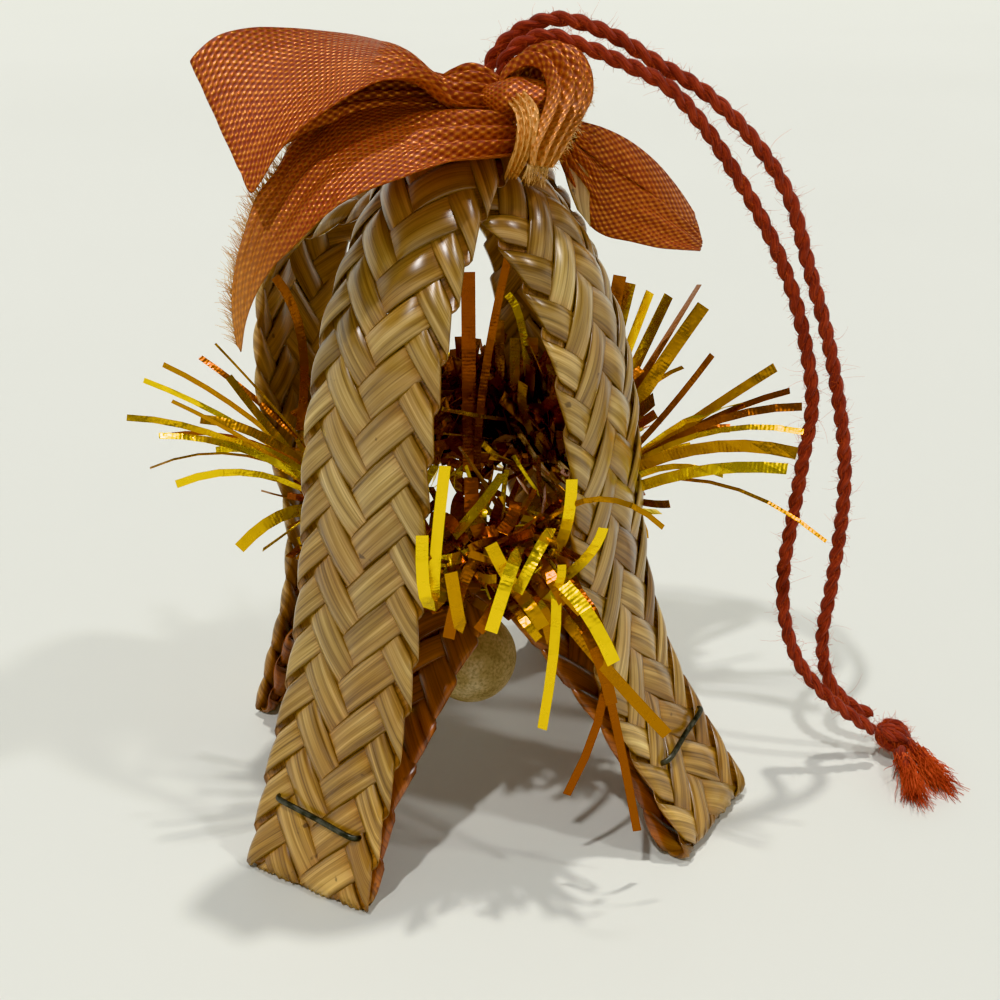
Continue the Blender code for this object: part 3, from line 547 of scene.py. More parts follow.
def foil_material():
    """Gold-lacquered metallised film, slit into strips: bright, with soft crinkles about 3 mm
    across and fine embossed lines 0.5 mm apart. Its colour runs with each frond's tone from
    brown to lemon, a painted reflection of dim or bright surroundings."""
    material, tree, shader = new_material("gold metallised film")
    uv = add_node(tree, "UVMap", uv_map="UVMap")
    place = add_node(tree, "TexCoord", out="Object")
    tone = add_node(tree, "Attribute", out="Fac", attribute_name="tone")
    # Painted reflection: tone 0 gives the dark brown of foil that reflects dim surroundings, tone 1 the
    # lemon of foil that catches the light
    colour = add_node(tree, "ValToRGB", {"Fac": tone},
                      stops=[(0.0, "#8E4614"), (0.30, "#A86A16"), (0.6, "#CE9C1C"), (0.9, "#F4D034")])
    crinkles = add_node(tree, "TexNoise", {"Vector": place, "Scale": 330.0, "Detail": 3.0})
    gloss = add_node(tree, "MapRange", {"Value": crinkles, "From Min": 0.3, "From Max": 0.7,
                                        "To Min": 0.2, "To Max": 0.34})
    lines = add_node(tree, "Mapping", {"Vector": uv, "Scale": (0.4, 2.0, 1.0)})
    lines = add_node(tree, "TexWave", {"Vector": lines, "Scale": 0.32, "Distortion": 1.5},
                     out="Fac", bands_direction="Y")
    height = add_node(tree, "Math", {0: lines, 1: 0.025, 2: crinkles}, operation="MULTIPLY_ADD")
    relief = add_node(tree, "Bump", {"Height": height, "Strength": 0.6, "Distance": 0.5 * MM})
    set_inputs(tree, shader, {"Base Color": colour, "Roughness": gloss, "Normal": relief,
                              "Metallic": 0.92})
    return material


def ribbon_material():
    """Open plain weave of dull rust threads and shiny copper ones, WEAVE_STEP apart across and
    along. The shiny ones come up as rows of short dashes, which is what catches the light.
    Towards the worn ends the rust threads have thinned out, and the gold ones show."""
    material, tree, shader = new_material("copper open weave")
    uv = add_node(tree, "UVMap", uv_map="UVMap")
    waves = []
    for axis, step in zip(("X", "Y"), WEAVE_STEP):
        place = add_node(tree, "SeparateXYZ", {"Vector": uv}, out=axis)
        turn = add_node(tree, "Math", {0: place, 1: math.pi / step}, operation="MULTIPLY")
        waves.append(add_node(tree, "Math", {0: turn}, operation="SINE"))
    weave = add_node(tree, "Math", {0: waves[0], 1: waves[1]}, operation="MULTIPLY")
    uneven = add_node(tree, "TexNoise", {"Vector": uv, "Scale": 1.7, "Detail": 2.0})
    bands = add_node(tree, "Mapping", {"Vector": uv, "Scale": (0.9, 0.07, 1.0)})
    bands = add_node(tree, "TexNoise", {"Vector": bands, "Scale": 1.0, "Detail": 3.0})
    shine = add_node(tree, "MapRange", {"Value": weave, "From Min": 0.15, "From Max": 0.6,
                                        "To Min": 0.0, "To Max": 1.0})
    gaps = add_node(tree, "MapRange", {"Value": weave, "From Min": -0.1, "From Max": -0.7,
                                       "To Min": 0.0, "To Max": 1.0})
    rust = add_node(tree, "ValToRGB", {"Fac": bands}, stops=[(0.35, "#8E350F"), (0.65, "#AE561F")])
    copper = add_node(tree, "ValToRGB", {"Fac": uneven}, stops=[(0.35, "#AE5A26"), (0.65, "#DA924E")])
    colour = add_node(tree, "Mix", {0: gaps, 6: rust, 7: "#7A290B"}, out=2, data_type="RGBA")
    colour = add_node(tree, "Mix", {0: shine, 6: colour, 7: copper}, out=2, data_type="RGBA")
    worn = add_node(tree, "Attribute", out="Fac", attribute_name="worn")
    colour = add_node(tree, "Mix", {0: worn, 6: colour, 7: "#E4AE6C"}, out=2, data_type="RGBA")
    metal = add_node(tree, "Math", {0: shine, 1: 0.75}, operation="MULTIPLY")
    gloss = add_node(tree, "MapRange", {"Value": shine, "To Min": 0.55, "To Max": 0.3})
    relief = add_node(tree, "Bump", {"Height": weave, "Strength": 0.6, "Distance": 0.1 * MM})
    set_inputs(tree, shader, {"Base Color": colour, "Metallic": metal, "Roughness": gloss,
                              "Normal": relief, "IOR": 1.5})
    return material


def wool_material():
    """Rust-red woollen yarn: matt, with fibres that lie at a slant round each ply."""
    material, tree, shader = new_material("rust two-ply wool")
    uv = add_node(tree, "UVMap", uv_map="UVMap")
    place = add_node(tree, "TexCoord", out="Object")
    slant = add_node(tree, "Mapping", {"Vector": uv, "Scale": (0.7, 6.0, 1.0),
                                       "Rotation": (0.0, 0.0, math.radians(28.0))})
    fibres = add_node(tree, "TexNoise", {"Vector": slant, "Scale": 1.0, "Detail": 4.0, "Roughness": 0.65})
    clumps = add_node(tree, "TexNoise", {"Vector": place, "Scale": 500.0, "Detail": 2.0})
    colour = add_node(tree, "ValToRGB", {"Fac": fibres},
                      stops=[(0.32, "#54120A"), (0.5, "#92301A"), (0.7, "#BC5033")])
    clumps = add_node(tree, "ValToRGB", {"Fac": clumps}, stops=[(0.35, "#A9604A"), (0.6, "#FFFFFF")])
    colour = add_node(tree, "Mix", {0: 0.45, 6: colour, 7: clumps}, out=2,
                      data_type="RGBA", blend_type="MULTIPLY")
    relief = add_node(tree, "Bump", {"Height": fibres, "Strength": 0.9, "Distance": 0.2 * MM})
    set_inputs(tree, shader, {"Base Color": colour, "Normal": relief, "Roughness": 0.92,
                              "Sheen Weight": 0.15, "Sheen Roughness": 0.6})
    return material


def fibre_material(name, colour, deep, roughness):
    """Loose fibres, too fine to show a pattern: only their colour drifts."""
    material, tree, shader = new_material(name)
    place = add_node(tree, "TexCoord", out="Object")
    drift = add_node(tree, "TexNoise", {"Vector": place, "Scale": 300.0, "Detail": 2.0})
    tint = add_node(tree, "ValToRGB", {"Fac": drift}, stops=[(0.35, deep), (0.65, colour)])
    set_inputs(tree, shader, {"Base Color": tint, "Roughness": roughness})
    return material


def bead_material():
    """Pressed-fibre bead: dry and matt, mottled grey-brown with a grain of about 0.4 mm."""
    material, tree, shader = new_material("matt pressed fibre")
    place = add_node(tree, "TexCoord", out="Object")
    mottle = add_node(tree, "TexNoise", {"Vector": place, "Scale": 260.0, "Detail": 4.0})
    grit = add_node(tree, "TexNoise", {"Vector": place, "Scale": 2600.0, "Detail": 2.0})
    colour = add_node(tree, "ValToRGB", {"Fac": mottle},
                      stops=[(0.3, "#AE9668"), (0.5, "#D6BE8C"), (0.7, "#F0DEB2")])
    dust = add_node(tree, "ValToRGB", {"Fac": grit}, stops=[(0.3, "#8A8070"), (0.6, "#FFFFFF")])
    colour = add_node(tree, "Mix", {0: 0.5, 6: colour, 7: dust}, out=2,
                      data_type="RGBA", blend_type="MULTIPLY")
    relief = add_node(tree, "Bump", {"Height": grit, "Strength": 0.6, "Distance": 0.08 * MM})
    set_inputs(tree, shader, {"Base Color": colour, "Normal": relief, "Roughness": 0.88})
    return material


def steel_material():
    """Galvanised staple wire: grey metal with dull zinc patches about 1 mm across."""
    material, tree, shader = new_material("galvanised wire")
    place = add_node(tree, "TexCoord", out="Object")
    patches = add_node(tree, "TexNoise", {"Vector": place, "Scale": 900.0, "Detail": 3.0})
    colour = add_node(tree, "ValToRGB", {"Fac": patches}, stops=[(0.35, "#3C3C36"), (0.65, "#6E6D64")])
    gloss = add_node(tree, "MapRange", {"Value": patches, "From Min": 0.3, "From Max": 0.7,
                                        "To Min": 0.34, "To Max": 0.52})
    relief = add_node(tree, "Bump", {"Height": patches, "Strength": 0.3, "Distance": 0.03 * MM})
    set_inputs(tree, shader, {"Base Color": colour, "Roughness": gloss, "Normal": relief,
                              "Metallic": 1.0})
    return material


# Plaited bands

def band_outline(near, far, crown, arch):
    """Closed middle line of a band as (along, height), lowered by SOLE_SINK, as in the CAD."""
    def leg(side, name):
        return [[(side * r, z) for r, z in layer] for layer in LEGS[name]]

    near_outer, near_inner = leg(-1.0, near)
    far_outer, far_inner = leg(1.0, far)
    points = [(0.0, crown), *near_outer, *near_inner, (0.0, arch),
              *reversed(far_inner), *reversed(far_outer)]
    return np.array(points) - (0.0, SOLE_SINK)


class Band:
    """One plaited loop: its middle line by length, and the lengths of its two folds."""

    def __init__(self, near, far, turn, crown, arch):
        self.line = smooth(band_outline(near, far, crown, arch), 12, closed=True)
        self.lengths = lengths_along(self.line)
        self.total = self.lengths[-1]
        self.turn = math.radians(turn)
        x, z = self.line.T
        self.folds = [self.lengths[np.where(x * side > 0.0, z, 99.0).argmin()]
                      for side in (-1.0, 1.0)]
        along = unit(np.roll(self.line[:-1], -1, axis=0) - np.roll(self.line[:-1], 1, axis=0))
        along = np.vstack([along, along[:1]])
        self.out = np.stack([along[:, 1], -along[:, 0]], axis=-1)

    def inside(self, s):
        """1 on the inner layer, 0 on the outer one, easing over INNER_EASE past each fold."""
        near, far = self.folds
        return ease((s - near) / INNER_EASE) * ease((far - s) / INNER_EASE)

    def cup(self, s):
        """How strongly the band curves across its width, as in the CAD: minus ARCH_CUP times a
        parabola on the inner layer. On the outer one, LEG_CUP comes in with height, and then
        grows to CROWN_CUP as the share of the rise to the power 1.5."""
        x, z = np.moveaxis(at_lengths(self.line, self.lengths, s), -1, 0)
        arch = -ARCH_CUP * np.clip(1.0 - (x / ARCH_REACH) ** 2, 0.0, None)
        (low, high), (start, top) = LEG_CUP_HEIGHTS, CROWN_CUP_HEIGHTS
        foot = np.clip((z - low) / (high - low), 0.0, 1.0)
        rise = np.clip((z - start) / (top - start), 0.0, 1.0)
        leg = LEG_CUP * foot + (CROWN_CUP - LEG_CUP) * rise ** 1.5
        near, far = self.folds
        return np.where((s > near) & (s < far), arch, leg)

    def place(self, s, across, lift):
        """The point lift above the band's face at a length and a distance across it: the
        section is an arc of radius one over twice the cup, turned about +Z by the band."""
        s = s % self.total
        middle = at_lengths(self.line, self.lengths, s)
        out = unit(at_lengths(self.out, self.lengths, s))
        cup = self.cup(s)
        radius = 0.5 / np.where(np.abs(cup) < 1e-4, 1e-4, cup)
        side = (radius + lift) * np.sin(across / radius)
        rise = (radius + lift) * np.cos(across / radius) - radius
        along, height = np.moveaxis(middle + rise[..., None] * out, -1, 0)
        height = np.maximum(height, TABLE_GAP)
        c, n = math.cos(self.turn), math.sin(self.turn)
        return np.stack([c * side - n * along, n * side + c * along, height], axis=-1)


def straw_section():
    """Round a flat straw: (place across from -1 to 1, face from -1 to 1), top then bottom."""
    top = np.array([-1.0, -0.86, -0.6, -0.3, 0.0, 0.3, 0.6, 0.86, 1.0])
    low = np.array([0.92, 0.45, 0.0, -0.45, -0.92])
    return np.concatenate([top, low]), np.concatenate([np.ones(9), -np.ones(5)])


def drift(rng, straws, passes, progress, size):
    """Slow random change along each straw: a number at each fold, blended in between."""
    values = rng.normal(0.0, size, (straws, passes))
    index = np.floor(progress).astype(int) % passes
    share = (progress % 1.0)[..., None]
    here, there = values[:, index], values[:, (index + 1) % passes]
    return here[..., None] * (1.0 - share) + there[..., None] * share


def woven_band(name, band, finish, seed, skew):
    """The plait. A straw crosses the band in passes of STRAWS columns, and folds back at each
    edge round a bend of radius PLAIT_LIFT. On a pass its level is a cosine four columns long,
    highest half a column in, and raised to FLOAT_POWER. Crossing straws set the columns, so
    the level is read at the column plus half the place across. Each pass moves the straw on by
    half of STRAWS repeats, and the whole plait is sheared along the band by skew times the
    distance across."""
    rng = np.random.default_rng(seed)
    passes = 2 * REPEATS // STRAWS
    rings = passes * STEPS_PER_PASS
    repeat = band.total / REPEATS
    across, face = straw_section()
    ring = np.arange(rings)
    number = ring // STEPS_PER_PASS
    column = (ring % STEPS_PER_PASS) * STRAWS / STEPS_PER_PASS
    progress = ring / STEPS_PER_PASS
    straw = np.arange(STRAWS)[:, None, None]

    wide = STRAW_FILL * (1.0 + drift(rng, STRAWS, passes, progress, WIDTH_DRIFT))
    shift = drift(rng, STRAWS, passes, progress, SHIFT_DRIFT)
    raised = drift(rng, STRAWS, passes, progress, HEIGHT_DRIFT)
    tone = np.clip(MEAN_TONE + drift(rng, STRAWS, passes, progress, TONE_DRIFT), 0.0, 1.0)

    half = 0.5 * PLAIT_WIDTH - 0.5 * TOOTH * (1.0 + across[None, None, :])
    from_edge = np.minimum(column, STRAWS - column)[None, :, None] * 2.0 * half / STRAWS
    bend = np.minimum(from_edge / PLAIT_LIFT, 0.5 * np.pi)
    quarter = 0.5 * np.pi * PLAIT_LIFT
    stretch = (half - PLAIT_LIFT) / (half - quarter)
    inwards = np.where(from_edge < quarter, PLAIT_LIFT * (1.0 - np.cos(bend)),
                       PLAIT_LIFT + (from_edge - quarter) * stretch)
    rightward = (number % 2 == 0)[None, :, None]
    on_left = (column < 0.5 * STRAWS)[None, :, None] == rightward
    middle = np.where(on_left, -1.0, 1.0) * (half - inwards)

    thick = 0.5 * STRAW_THICKNESS * (1.0 - 0.55 * across ** 4) * face
    w = middle - np.cos(bend) * thick
    y = repeat * (straw + 0.5 * STRAWS * progress[None, :, None] + 0.5 * across * wide)
    y = y + shift + skew * w
    s = -y % band.total

    crossing = column[None, :, None] + 0.5 * across * wide
    wave = np.cos(0.5 * np.pi * (crossing - 0.5))
    level = np.sign(wave) * np.abs(wave) ** FLOAT_POWER * np.sin(bend)
    crown = PLAIT_CROWN * (1.0 - across ** 2)
    lift = level * (PLAIT_LIFT + crown - 0.5 * PLAIT_CROWN) + raised * np.sin(bend)
    lift = lift - SHINGLE * across * np.abs(level) * (1.0 + 1.2 * ease(1.6 - column)[None, :, None])
    pressed = sum(np.exp(-((s - fold) / FOLD_PRESS_REACH) ** 2) for fold in band.folds)
    lift = lift * (1.0 - FOLD_PRESS * pressed)

    turned = np.where(rightward, 1.0, -1.0) * np.sin(bend)
    z = lift + turned * thick
    points = band.place(-y, w, z)

    # Painted shade: the inner layer is marked for the material's painted shade, and straw low in the
    # weave, where it dips under its neighbours, takes on part of it
    hidden = np.clip(0.7 - z / 0.45, 0.0, 1.0)
    inside = np.maximum(band.inside(s), 0.55 * hidden)
    walked = repeat * STRAWS / 2.0 * math.sqrt(2.0)
    u = progress[None, :, None] * walked + MAP_GAP * straw + 0.0 * y
    v = 0.5 * repeat / math.sqrt(2.0) * across * wide + 0.0 * y
    faces = np.vstack([tube_faces(1, rings, len(across), closed=True) + i * rings * len(across)
                       for i in range(STRAWS)])
    tone = tone + 0.0 * y
    return make_piece(name, points, faces, finish, "straw", np.stack([u, v], -1),
                      tone=tone, inside=inside)


def make_loose_straw(finish):
    """End of a straw that stands out at the crown: a thin strip between two smooth edges,
    bowed across its width as the share across less its square."""
    rows = smooth([[*left, *right] for left, right in LOOSE_STRAW], 10)
    share = np.linspace(0.0, 1.0, 9)[None, :, None]
    surface = rows[:, None, :3] * (1.0 - share) + rows[:, None, 3:] * share
    surface = surface + (0.0, -1.2, 0.5) * (share - share ** 2)
    back = surface + (0.06, 0.22, 0.0)
    length = lengths_along(surface[:, 4])
    points = np.concatenate([surface, back[:, ::-1]], axis=1)
    both = np.concatenate([share[0, :, 0], share[0, ::-1, 0]])
    uv = np.stack([length[:, None] + 0.0 * both, 2.4 * both - 1.2 + 0.0 * length[:, None]], axis=-1)
    made = strip_mesh([(in_object(points), uv)])
    make_piece("loose_straw_end", made[0], made[1], finish, "straw", made[2],
               tone=np.full(len(made[0]), 0.9), inside=np.zeros(len(made[0])))


# Tinsel

def foil_strips(starts, middles, tips, widths, facings, rolls, twists, steps=9):
    """Flat strips along quadratic curves through start, middle and tip. Each strip's face is
    turned as nearly as it goes to its facing direction, then rolls and twists about the curve."""
    t = np.linspace(0.0, 1.0, steps)[None, :, None]
    starts, middles, tips = (np.asarray(p, float)[:, None] for p in (starts, middles, tips))
    controls = 2.0 * middles - 0.5 * (starts + tips)
    line = (1 - t) ** 2 * starts + 2 * t * (1 - t) * controls + t ** 2 * tips
    tangent = unit(np.gradient(line, axis=1))
    level = unit(np.cross(tangent, np.asarray(facings, float)[:, None]))
    upright = np.cross(level, tangent)
    angle = np.asarray(rolls)[:, None, None] + np.asarray(twists)[:, None, None] * t
    across = level * np.cos(angle) + upright * np.sin(angle)
    half = 0.5 * np.asarray(widths)[:, None, None] * across
    thick = 0.5 * FOIL_THICKNESS * np.cross(tangent, across)
    return np.stack([line + half + thick, line - half + thick,
                     line - half - thick, line + half - thick], axis=2)


def clear_of_legs(strips):
    """True for each strip whose points all miss the legs' layers."""
    points = strips.reshape(len(strips), -1, 3)
    height = points[..., 2]
    clear = np.ones(len(strips), bool)
    for leg, turn in LEG_TURNS.items():
        angle = math.radians(turn)
        out = points[..., 0] * math.cos(angle) + points[..., 1] * math.sin(angle)
        side = -points[..., 0] * math.sin(angle) + points[..., 1] * math.cos(angle)
        outer, inner = (np.array(layer) for layer in LEGS[leg])
        to_outer = np.abs(out - np.interp(height, outer[::-1, 1], outer[::-1, 0]))
        to_inner = np.abs(out - np.interp(height, inner[:, 1], inner[:, 0]))
        hit = (to_outer < LEG_MARGIN) | ((to_inner < LEG_MARGIN) & (height < INNER_LAYER_TOP))
        clear &= ~(hit & (np.abs(side) < LEG_HALF_WIDTH) & (out > 0.0)).any(axis=1)
    return clear


def tuft(rng, around, reach, widths, lift, scatter):
    """Fronds from random places on the ring: each aims outwards, lifted and scattered."""
    count = len(around)
    out = np.stack([np.cos(around), np.sin(around), 0.0 * around], axis=-1)
    roots = out * RING_RADIUS + (0.0, 0.0, RING_HEIGHT) + rng.normal(0.0, 0.9, (count, 3))
    aims = unit(rng.normal(0.0, scatter, (count, 3)) + out * rng.uniform(-0.6, 1.4, (count, 1))
                + (0.0, 0.0, lift))
    reach = rng.uniform(*reach, (count, 1))
    tips = roots + aims * reach
    middles = roots + aims * reach * 0.5 + rng.normal(0.0, 0.8, (count, 3))
    facings = out + rng.normal(0.0, 0.45, (count, 3)) + (0.0, 0.0, 0.35)
    return foil_strips(roots, middles, tips, rng.choice(widths, count), facings,
                       rng.normal(0.0, 0.35, count), rng.uniform(-0.9, 0.9, count))


def make_tinsel(finish):
    """Garland: long fronds that stand out between the legs, and many short ones all round."""
    rng = np.random.default_rng(11)
    towards_front = in_object([(0.0, -0.92, 0.39)])[0]

    tips = in_object([tip for tip, _, _ in LONG_FRONDS])
    widths = np.array([width for _, width, _ in LONG_FRONDS])
    rises = np.array([rise for _, _, rise in LONG_FRONDS])
    angle = np.arctan2(tips[:, 1], tips[:, 0])
    gap = np.round((angle - math.pi / 4) / (math.pi / 2)) * math.pi / 2 + math.pi / 4
    angle = gap + 0.55 * (angle - gap)
    count = len(tips)
    roots = np.stack([RING_RADIUS * np.cos(angle), RING_RADIUS * np.sin(angle),
                      RING_HEIGHT + rng.uniform(-1.5, 1.5, count)], axis=-1)
    middles = 0.5 * (roots + tips) + rises[:, None] * (0.0, 0.0, 1.0)
    facings = towards_front + rng.normal(0.0, 0.45, (count, 3))
    strips = [foil_strips(roots, middles, tips, widths, facings, rng.normal(0.0, 0.3, count),
                          rng.uniform(-0.7, 0.7, count))]
    reflection_tones = [rng.choice(LONG_PAINTED_REFLECTIONS, count)]

    roots, middles, tips = (in_object([frond[i] for frond in FRONT_FRONDS]) for i in range(3))
    widths, tone = (np.array([frond[i] for frond in FRONT_FRONDS]) for i in (3, 4))
    count = len(tips)
    facings = towards_front + rng.normal(0.0, 0.12, (count, 3))
    strips.append(foil_strips(roots, middles, tips, widths, facings, 0.0 * tone,
                              rng.uniform(-0.25, 0.25, count)))
    reflection_tones.append(tone)

    # Each tuft picks its fronds' tones, which are painted reflections from brown to lemon, from its last
    # entry
    tufts = [
        (rng.uniform(0.0, 2.0 * math.pi, SHORT_FRONDS), (5.0, 13.0), (0.6, 1.0, 1.4), 0.3, 0.8,
         (0.0, 0.12, 0.35, 0.5, 0.9)),
        (BOW_TURN - rng.uniform(0.30, 0.62, FRONT_TUFT) * math.pi, (4.0, 9.0), (1.2, 1.5, 1.7), -0.1,
         0.8, (0.0, 0.08, 0.3, 0.45)),
        (BOW_TURN + rng.uniform(0.16, 0.80, REAR_FRONDS) * math.pi, (7.0, 17.0), (1.2, 1.5, 1.8), 1.1,
         0.38, (0.0, 0.05, 0.15, 0.25, 0.4)),
    ]
    for around, reach, widths, lift, scatter, painted_reflections in tufts:
        made = tuft(rng, around, reach, widths, lift, scatter)
        clear = clear_of_legs(made)
        strips.append(made[clear])
        reflection_tones.append(rng.choice(painted_reflections, len(around))[clear])

    # Fronds behind, where the garland passes between the back legs
    count = HIDDEN_GAP_FRONDS
    around = BOW_TURN + math.radians(104.0) + rng.normal(0.0, 0.28, count)
    out = np.stack([np.cos(around), np.sin(around), 0.0 * around], axis=-1)
    roots = out * RING_RADIUS + (0.0, 0.0, RING_HEIGHT)
    tips = out * rng.uniform(28.0, 40.0, (count, 1)) + (0.0, 0.0, RING_HEIGHT)
    tips[:, 2] += rng.uniform(-6.0, 20.0, count)
    middles = 0.5 * (roots + tips) + rng.uniform(0.0, 3.0, (count, 1)) * (0.0, 0.0, 1.0)
    made = foil_strips(roots, middles, tips, rng.uniform(0.6, 1.6, count),
                       rng.normal(0.0, 1.0, (count, 3)), 0.0 * around, rng.uniform(-0.7, 0.7, count))
    clear = clear_of_legs(made)
    strips.append(made[clear])
    reflection_tones.append(rng.choice(LONG_PAINTED_REFLECTIONS, count)[clear])

    strips, reflection_tones = np.concatenate(strips), np.concatenate(reflection_tones)
    faces = np.vstack([tube_faces(len(strips), 9, 4), end_faces(len(strips), 9)])
    reflection_tones = reflection_tones[:, None, None] * np.ones(strips.shape[:3])
    steps = np.linalg.norm(np.diff(strips[:, :, 0], axis=1), axis=-1)
    run = np.concatenate([np.zeros((len(strips), 1)), np.cumsum(steps, axis=1)], axis=1)
    width = np.linalg.norm(strips[:, :1, 0] - strips[:, :1, 1], axis=-1)
    side = np.array([1.0, 0.0, 0.0, 1.0]) * width[..., None]
    uv = np.stack([side + 0.0 * run[..., None], run[..., None] + 0.0 * side], axis=-1)
    fronds = make_piece("tinsel_fronds", strips, faces, finish, "foil", uv, round_shading=False,
                        tone=reflection_tones)
    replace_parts(fronds, "tinsel_garland")

    turn = np.linspace(0.0, 2.0 * math.pi, 241)[:-1]
    cores = []
    for phase in (0.0, math.pi):
        lay = 34.0 * turn + phase
        radius = RING_RADIUS + 0.45 * np.cos(lay)
        cores.append(np.stack([radius * np.cos(turn), radius * np.sin(turn),
                               RING_HEIGHT + 0.45 * np.sin(lay)], axis=-1))
    rods = round_rods(np.array(cores), 0.45, 6, (0.0, 0.0, 1.0))
    # Painted reflection: the core takes the dark brown tone of foil that reflects dim surroundings
    make_piece("tinsel_core", rods, tube_faces(2, 240, 6, closed=True), finish, "foil",
               rods[..., :2], tone=np.full(rods.shape[:3], 0.1))


# Ribbon

def ribbon_strip(rows, start=0.0, width=RIBBON_WIDTH, cut_row=99, flat_row=-9, samples=9):
    """A strip through rows of far, middle and near points: on each row it follows the
    quadratic curve through the three. Cloth that the row has no room for stands up in PLEATS
    sine waves, whose height is the root of width squared less chord squared, over four PLEATS.
    They die out round flat_row, by one less a Gaussian. From cut_row on, the cut end takes
    away the far side in proportion to the chord."""
    far, middle, near = (smooth([row[i] for row in rows], samples) for i in range(3))
    share = np.linspace(0.0, 1.0, 49)[None, :, None]
    control = 2.0 * middle - 0.5 * (far + near)
    surface = ((1.0 - share) ** 2 * far[:, None] + 2.0 * share * (1.0 - share) * control[:, None]
               + share ** 2 * near[:, None])
    chord = np.linalg.norm(np.diff(surface, axis=1), axis=-1).sum(axis=1)
    cut = min(cut_row * samples, len(chord) - 1)
    cloth = np.where(np.arange(len(chord)) < cut, width, width * chord / chord[cut])
    length = lengths_along(middle)
    normal = unit(np.cross(unit(np.gradient(surface, axis=0)), unit(np.gradient(surface, axis=1))))
    waves = share + 0.03 * np.sin(2.0 * np.pi * share + 0.15 * length[:, None, None])
    height = np.sqrt(np.clip(cloth ** 2 - chord ** 2, 0.0, None)) / (4.0 * PLEATS)
    height = height * (1.0 - np.exp(-((np.arange(len(chord)) / samples - flat_row) / 1.6) ** 2))
    surface = surface + normal * np.sin(2.0 * np.pi * PLEATS * waves) * height[:, None, None]
    top, low = surface + 0.5 * RIBBON_THICKNESS * normal, surface - 0.5 * RIBBON_THICKNESS * normal
    points = np.concatenate([top, low[:, ::-1]], axis=1)
    both = np.concatenate([share[0, :, 0], share[0, ::-1, 0]])
    u = RIBBON_WIDTH - cloth[:, None] * (1.0 - both)
    uv = np.stack([u, start + length[:, None] + 0.0 * u], axis=-1)
    steps = np.diff(length)
    return in_object(points), uv, length[-1], (steps * cloth[:-1]).sum()


def strip_mesh(strips):
    """Points, quads and map of several strips, each closed round and at both ends."""
    points, faces, uvs, first = [], [], [], 0
    for grid, uv in (strip[:2] for strip in strips):
        rings, sides = grid.shape[:2]
        half = sides // 2
        column = np.arange(half - 1)
        ends = [np.stack([ring + column, ring + column + 1, ring + sides - 2 - column,
                          ring + sides - 1 - column], -1)
                for ring in (0, (rings - 1) * sides)]
        faces += [tube_faces(1, rings, sides) + first, ends[0][:, ::-1] + first, ends[1] + first]
        points.append(grid.reshape(-1, 3))
        uvs.append(uv.reshape(-1, 2))
        first += rings * sides
    return np.vstack(points), np.vstack(faces), np.vstack(uvs)


def hairs(roots, aims, lengths, radius, curl, rng, waves=0.0, steps=5):
    """Thin four-sided hairs from roots along aims, bent sideways by curl as t squared, and
    swung by waves as the sine of three half turns."""
    t = np.linspace(0.0, 1.0, steps)[None, :, None]
    lengths = np.asarray(lengths)[:, None, None]
    side = unit(np.cross(aims, rng.normal(0.0, 1.0, aims.shape)))[:, None]
    phase = rng.uniform(0.0, 2.0 * np.pi, (len(roots), 1, 1))
    swing = waves * (np.sin(3.0 * np.pi * t + phase) - np.sin(phase))
    lines = roots[:, None] + aims[:, None] * lengths * t + side * (curl * lengths * t ** 2 + swing)
    lines[..., 2] = np.maximum(lines[..., 2], 0.1)
    rods = round_rods(lines, radius * (1.0 - 0.6 * t[..., 0]), 4, (0.37, 0.21, 0.9))
    return rods, np.vstack([tube_faces(len(roots), steps, 4), end_faces(len(roots), steps)])


def edge_hairs(rng, rows, count, lean, scatter, reach, radius):
    """Frayed threads along a strip's far edge: they point away from it, leaned and scattered."""
    far, near = (smooth([row[i] for row in rows], 40) for i in (0, 2))
    pick = rng.integers(0, len(far), count)
    aims = unit(far[pick] - near[pick]) + rng.normal(0.0, scatter, (count, 3)) + lean
    return hairs(in_object(far[pick]), in_object(unit(aims)), rng.uniform(*reach, count), radius,
                 0.3, rng)


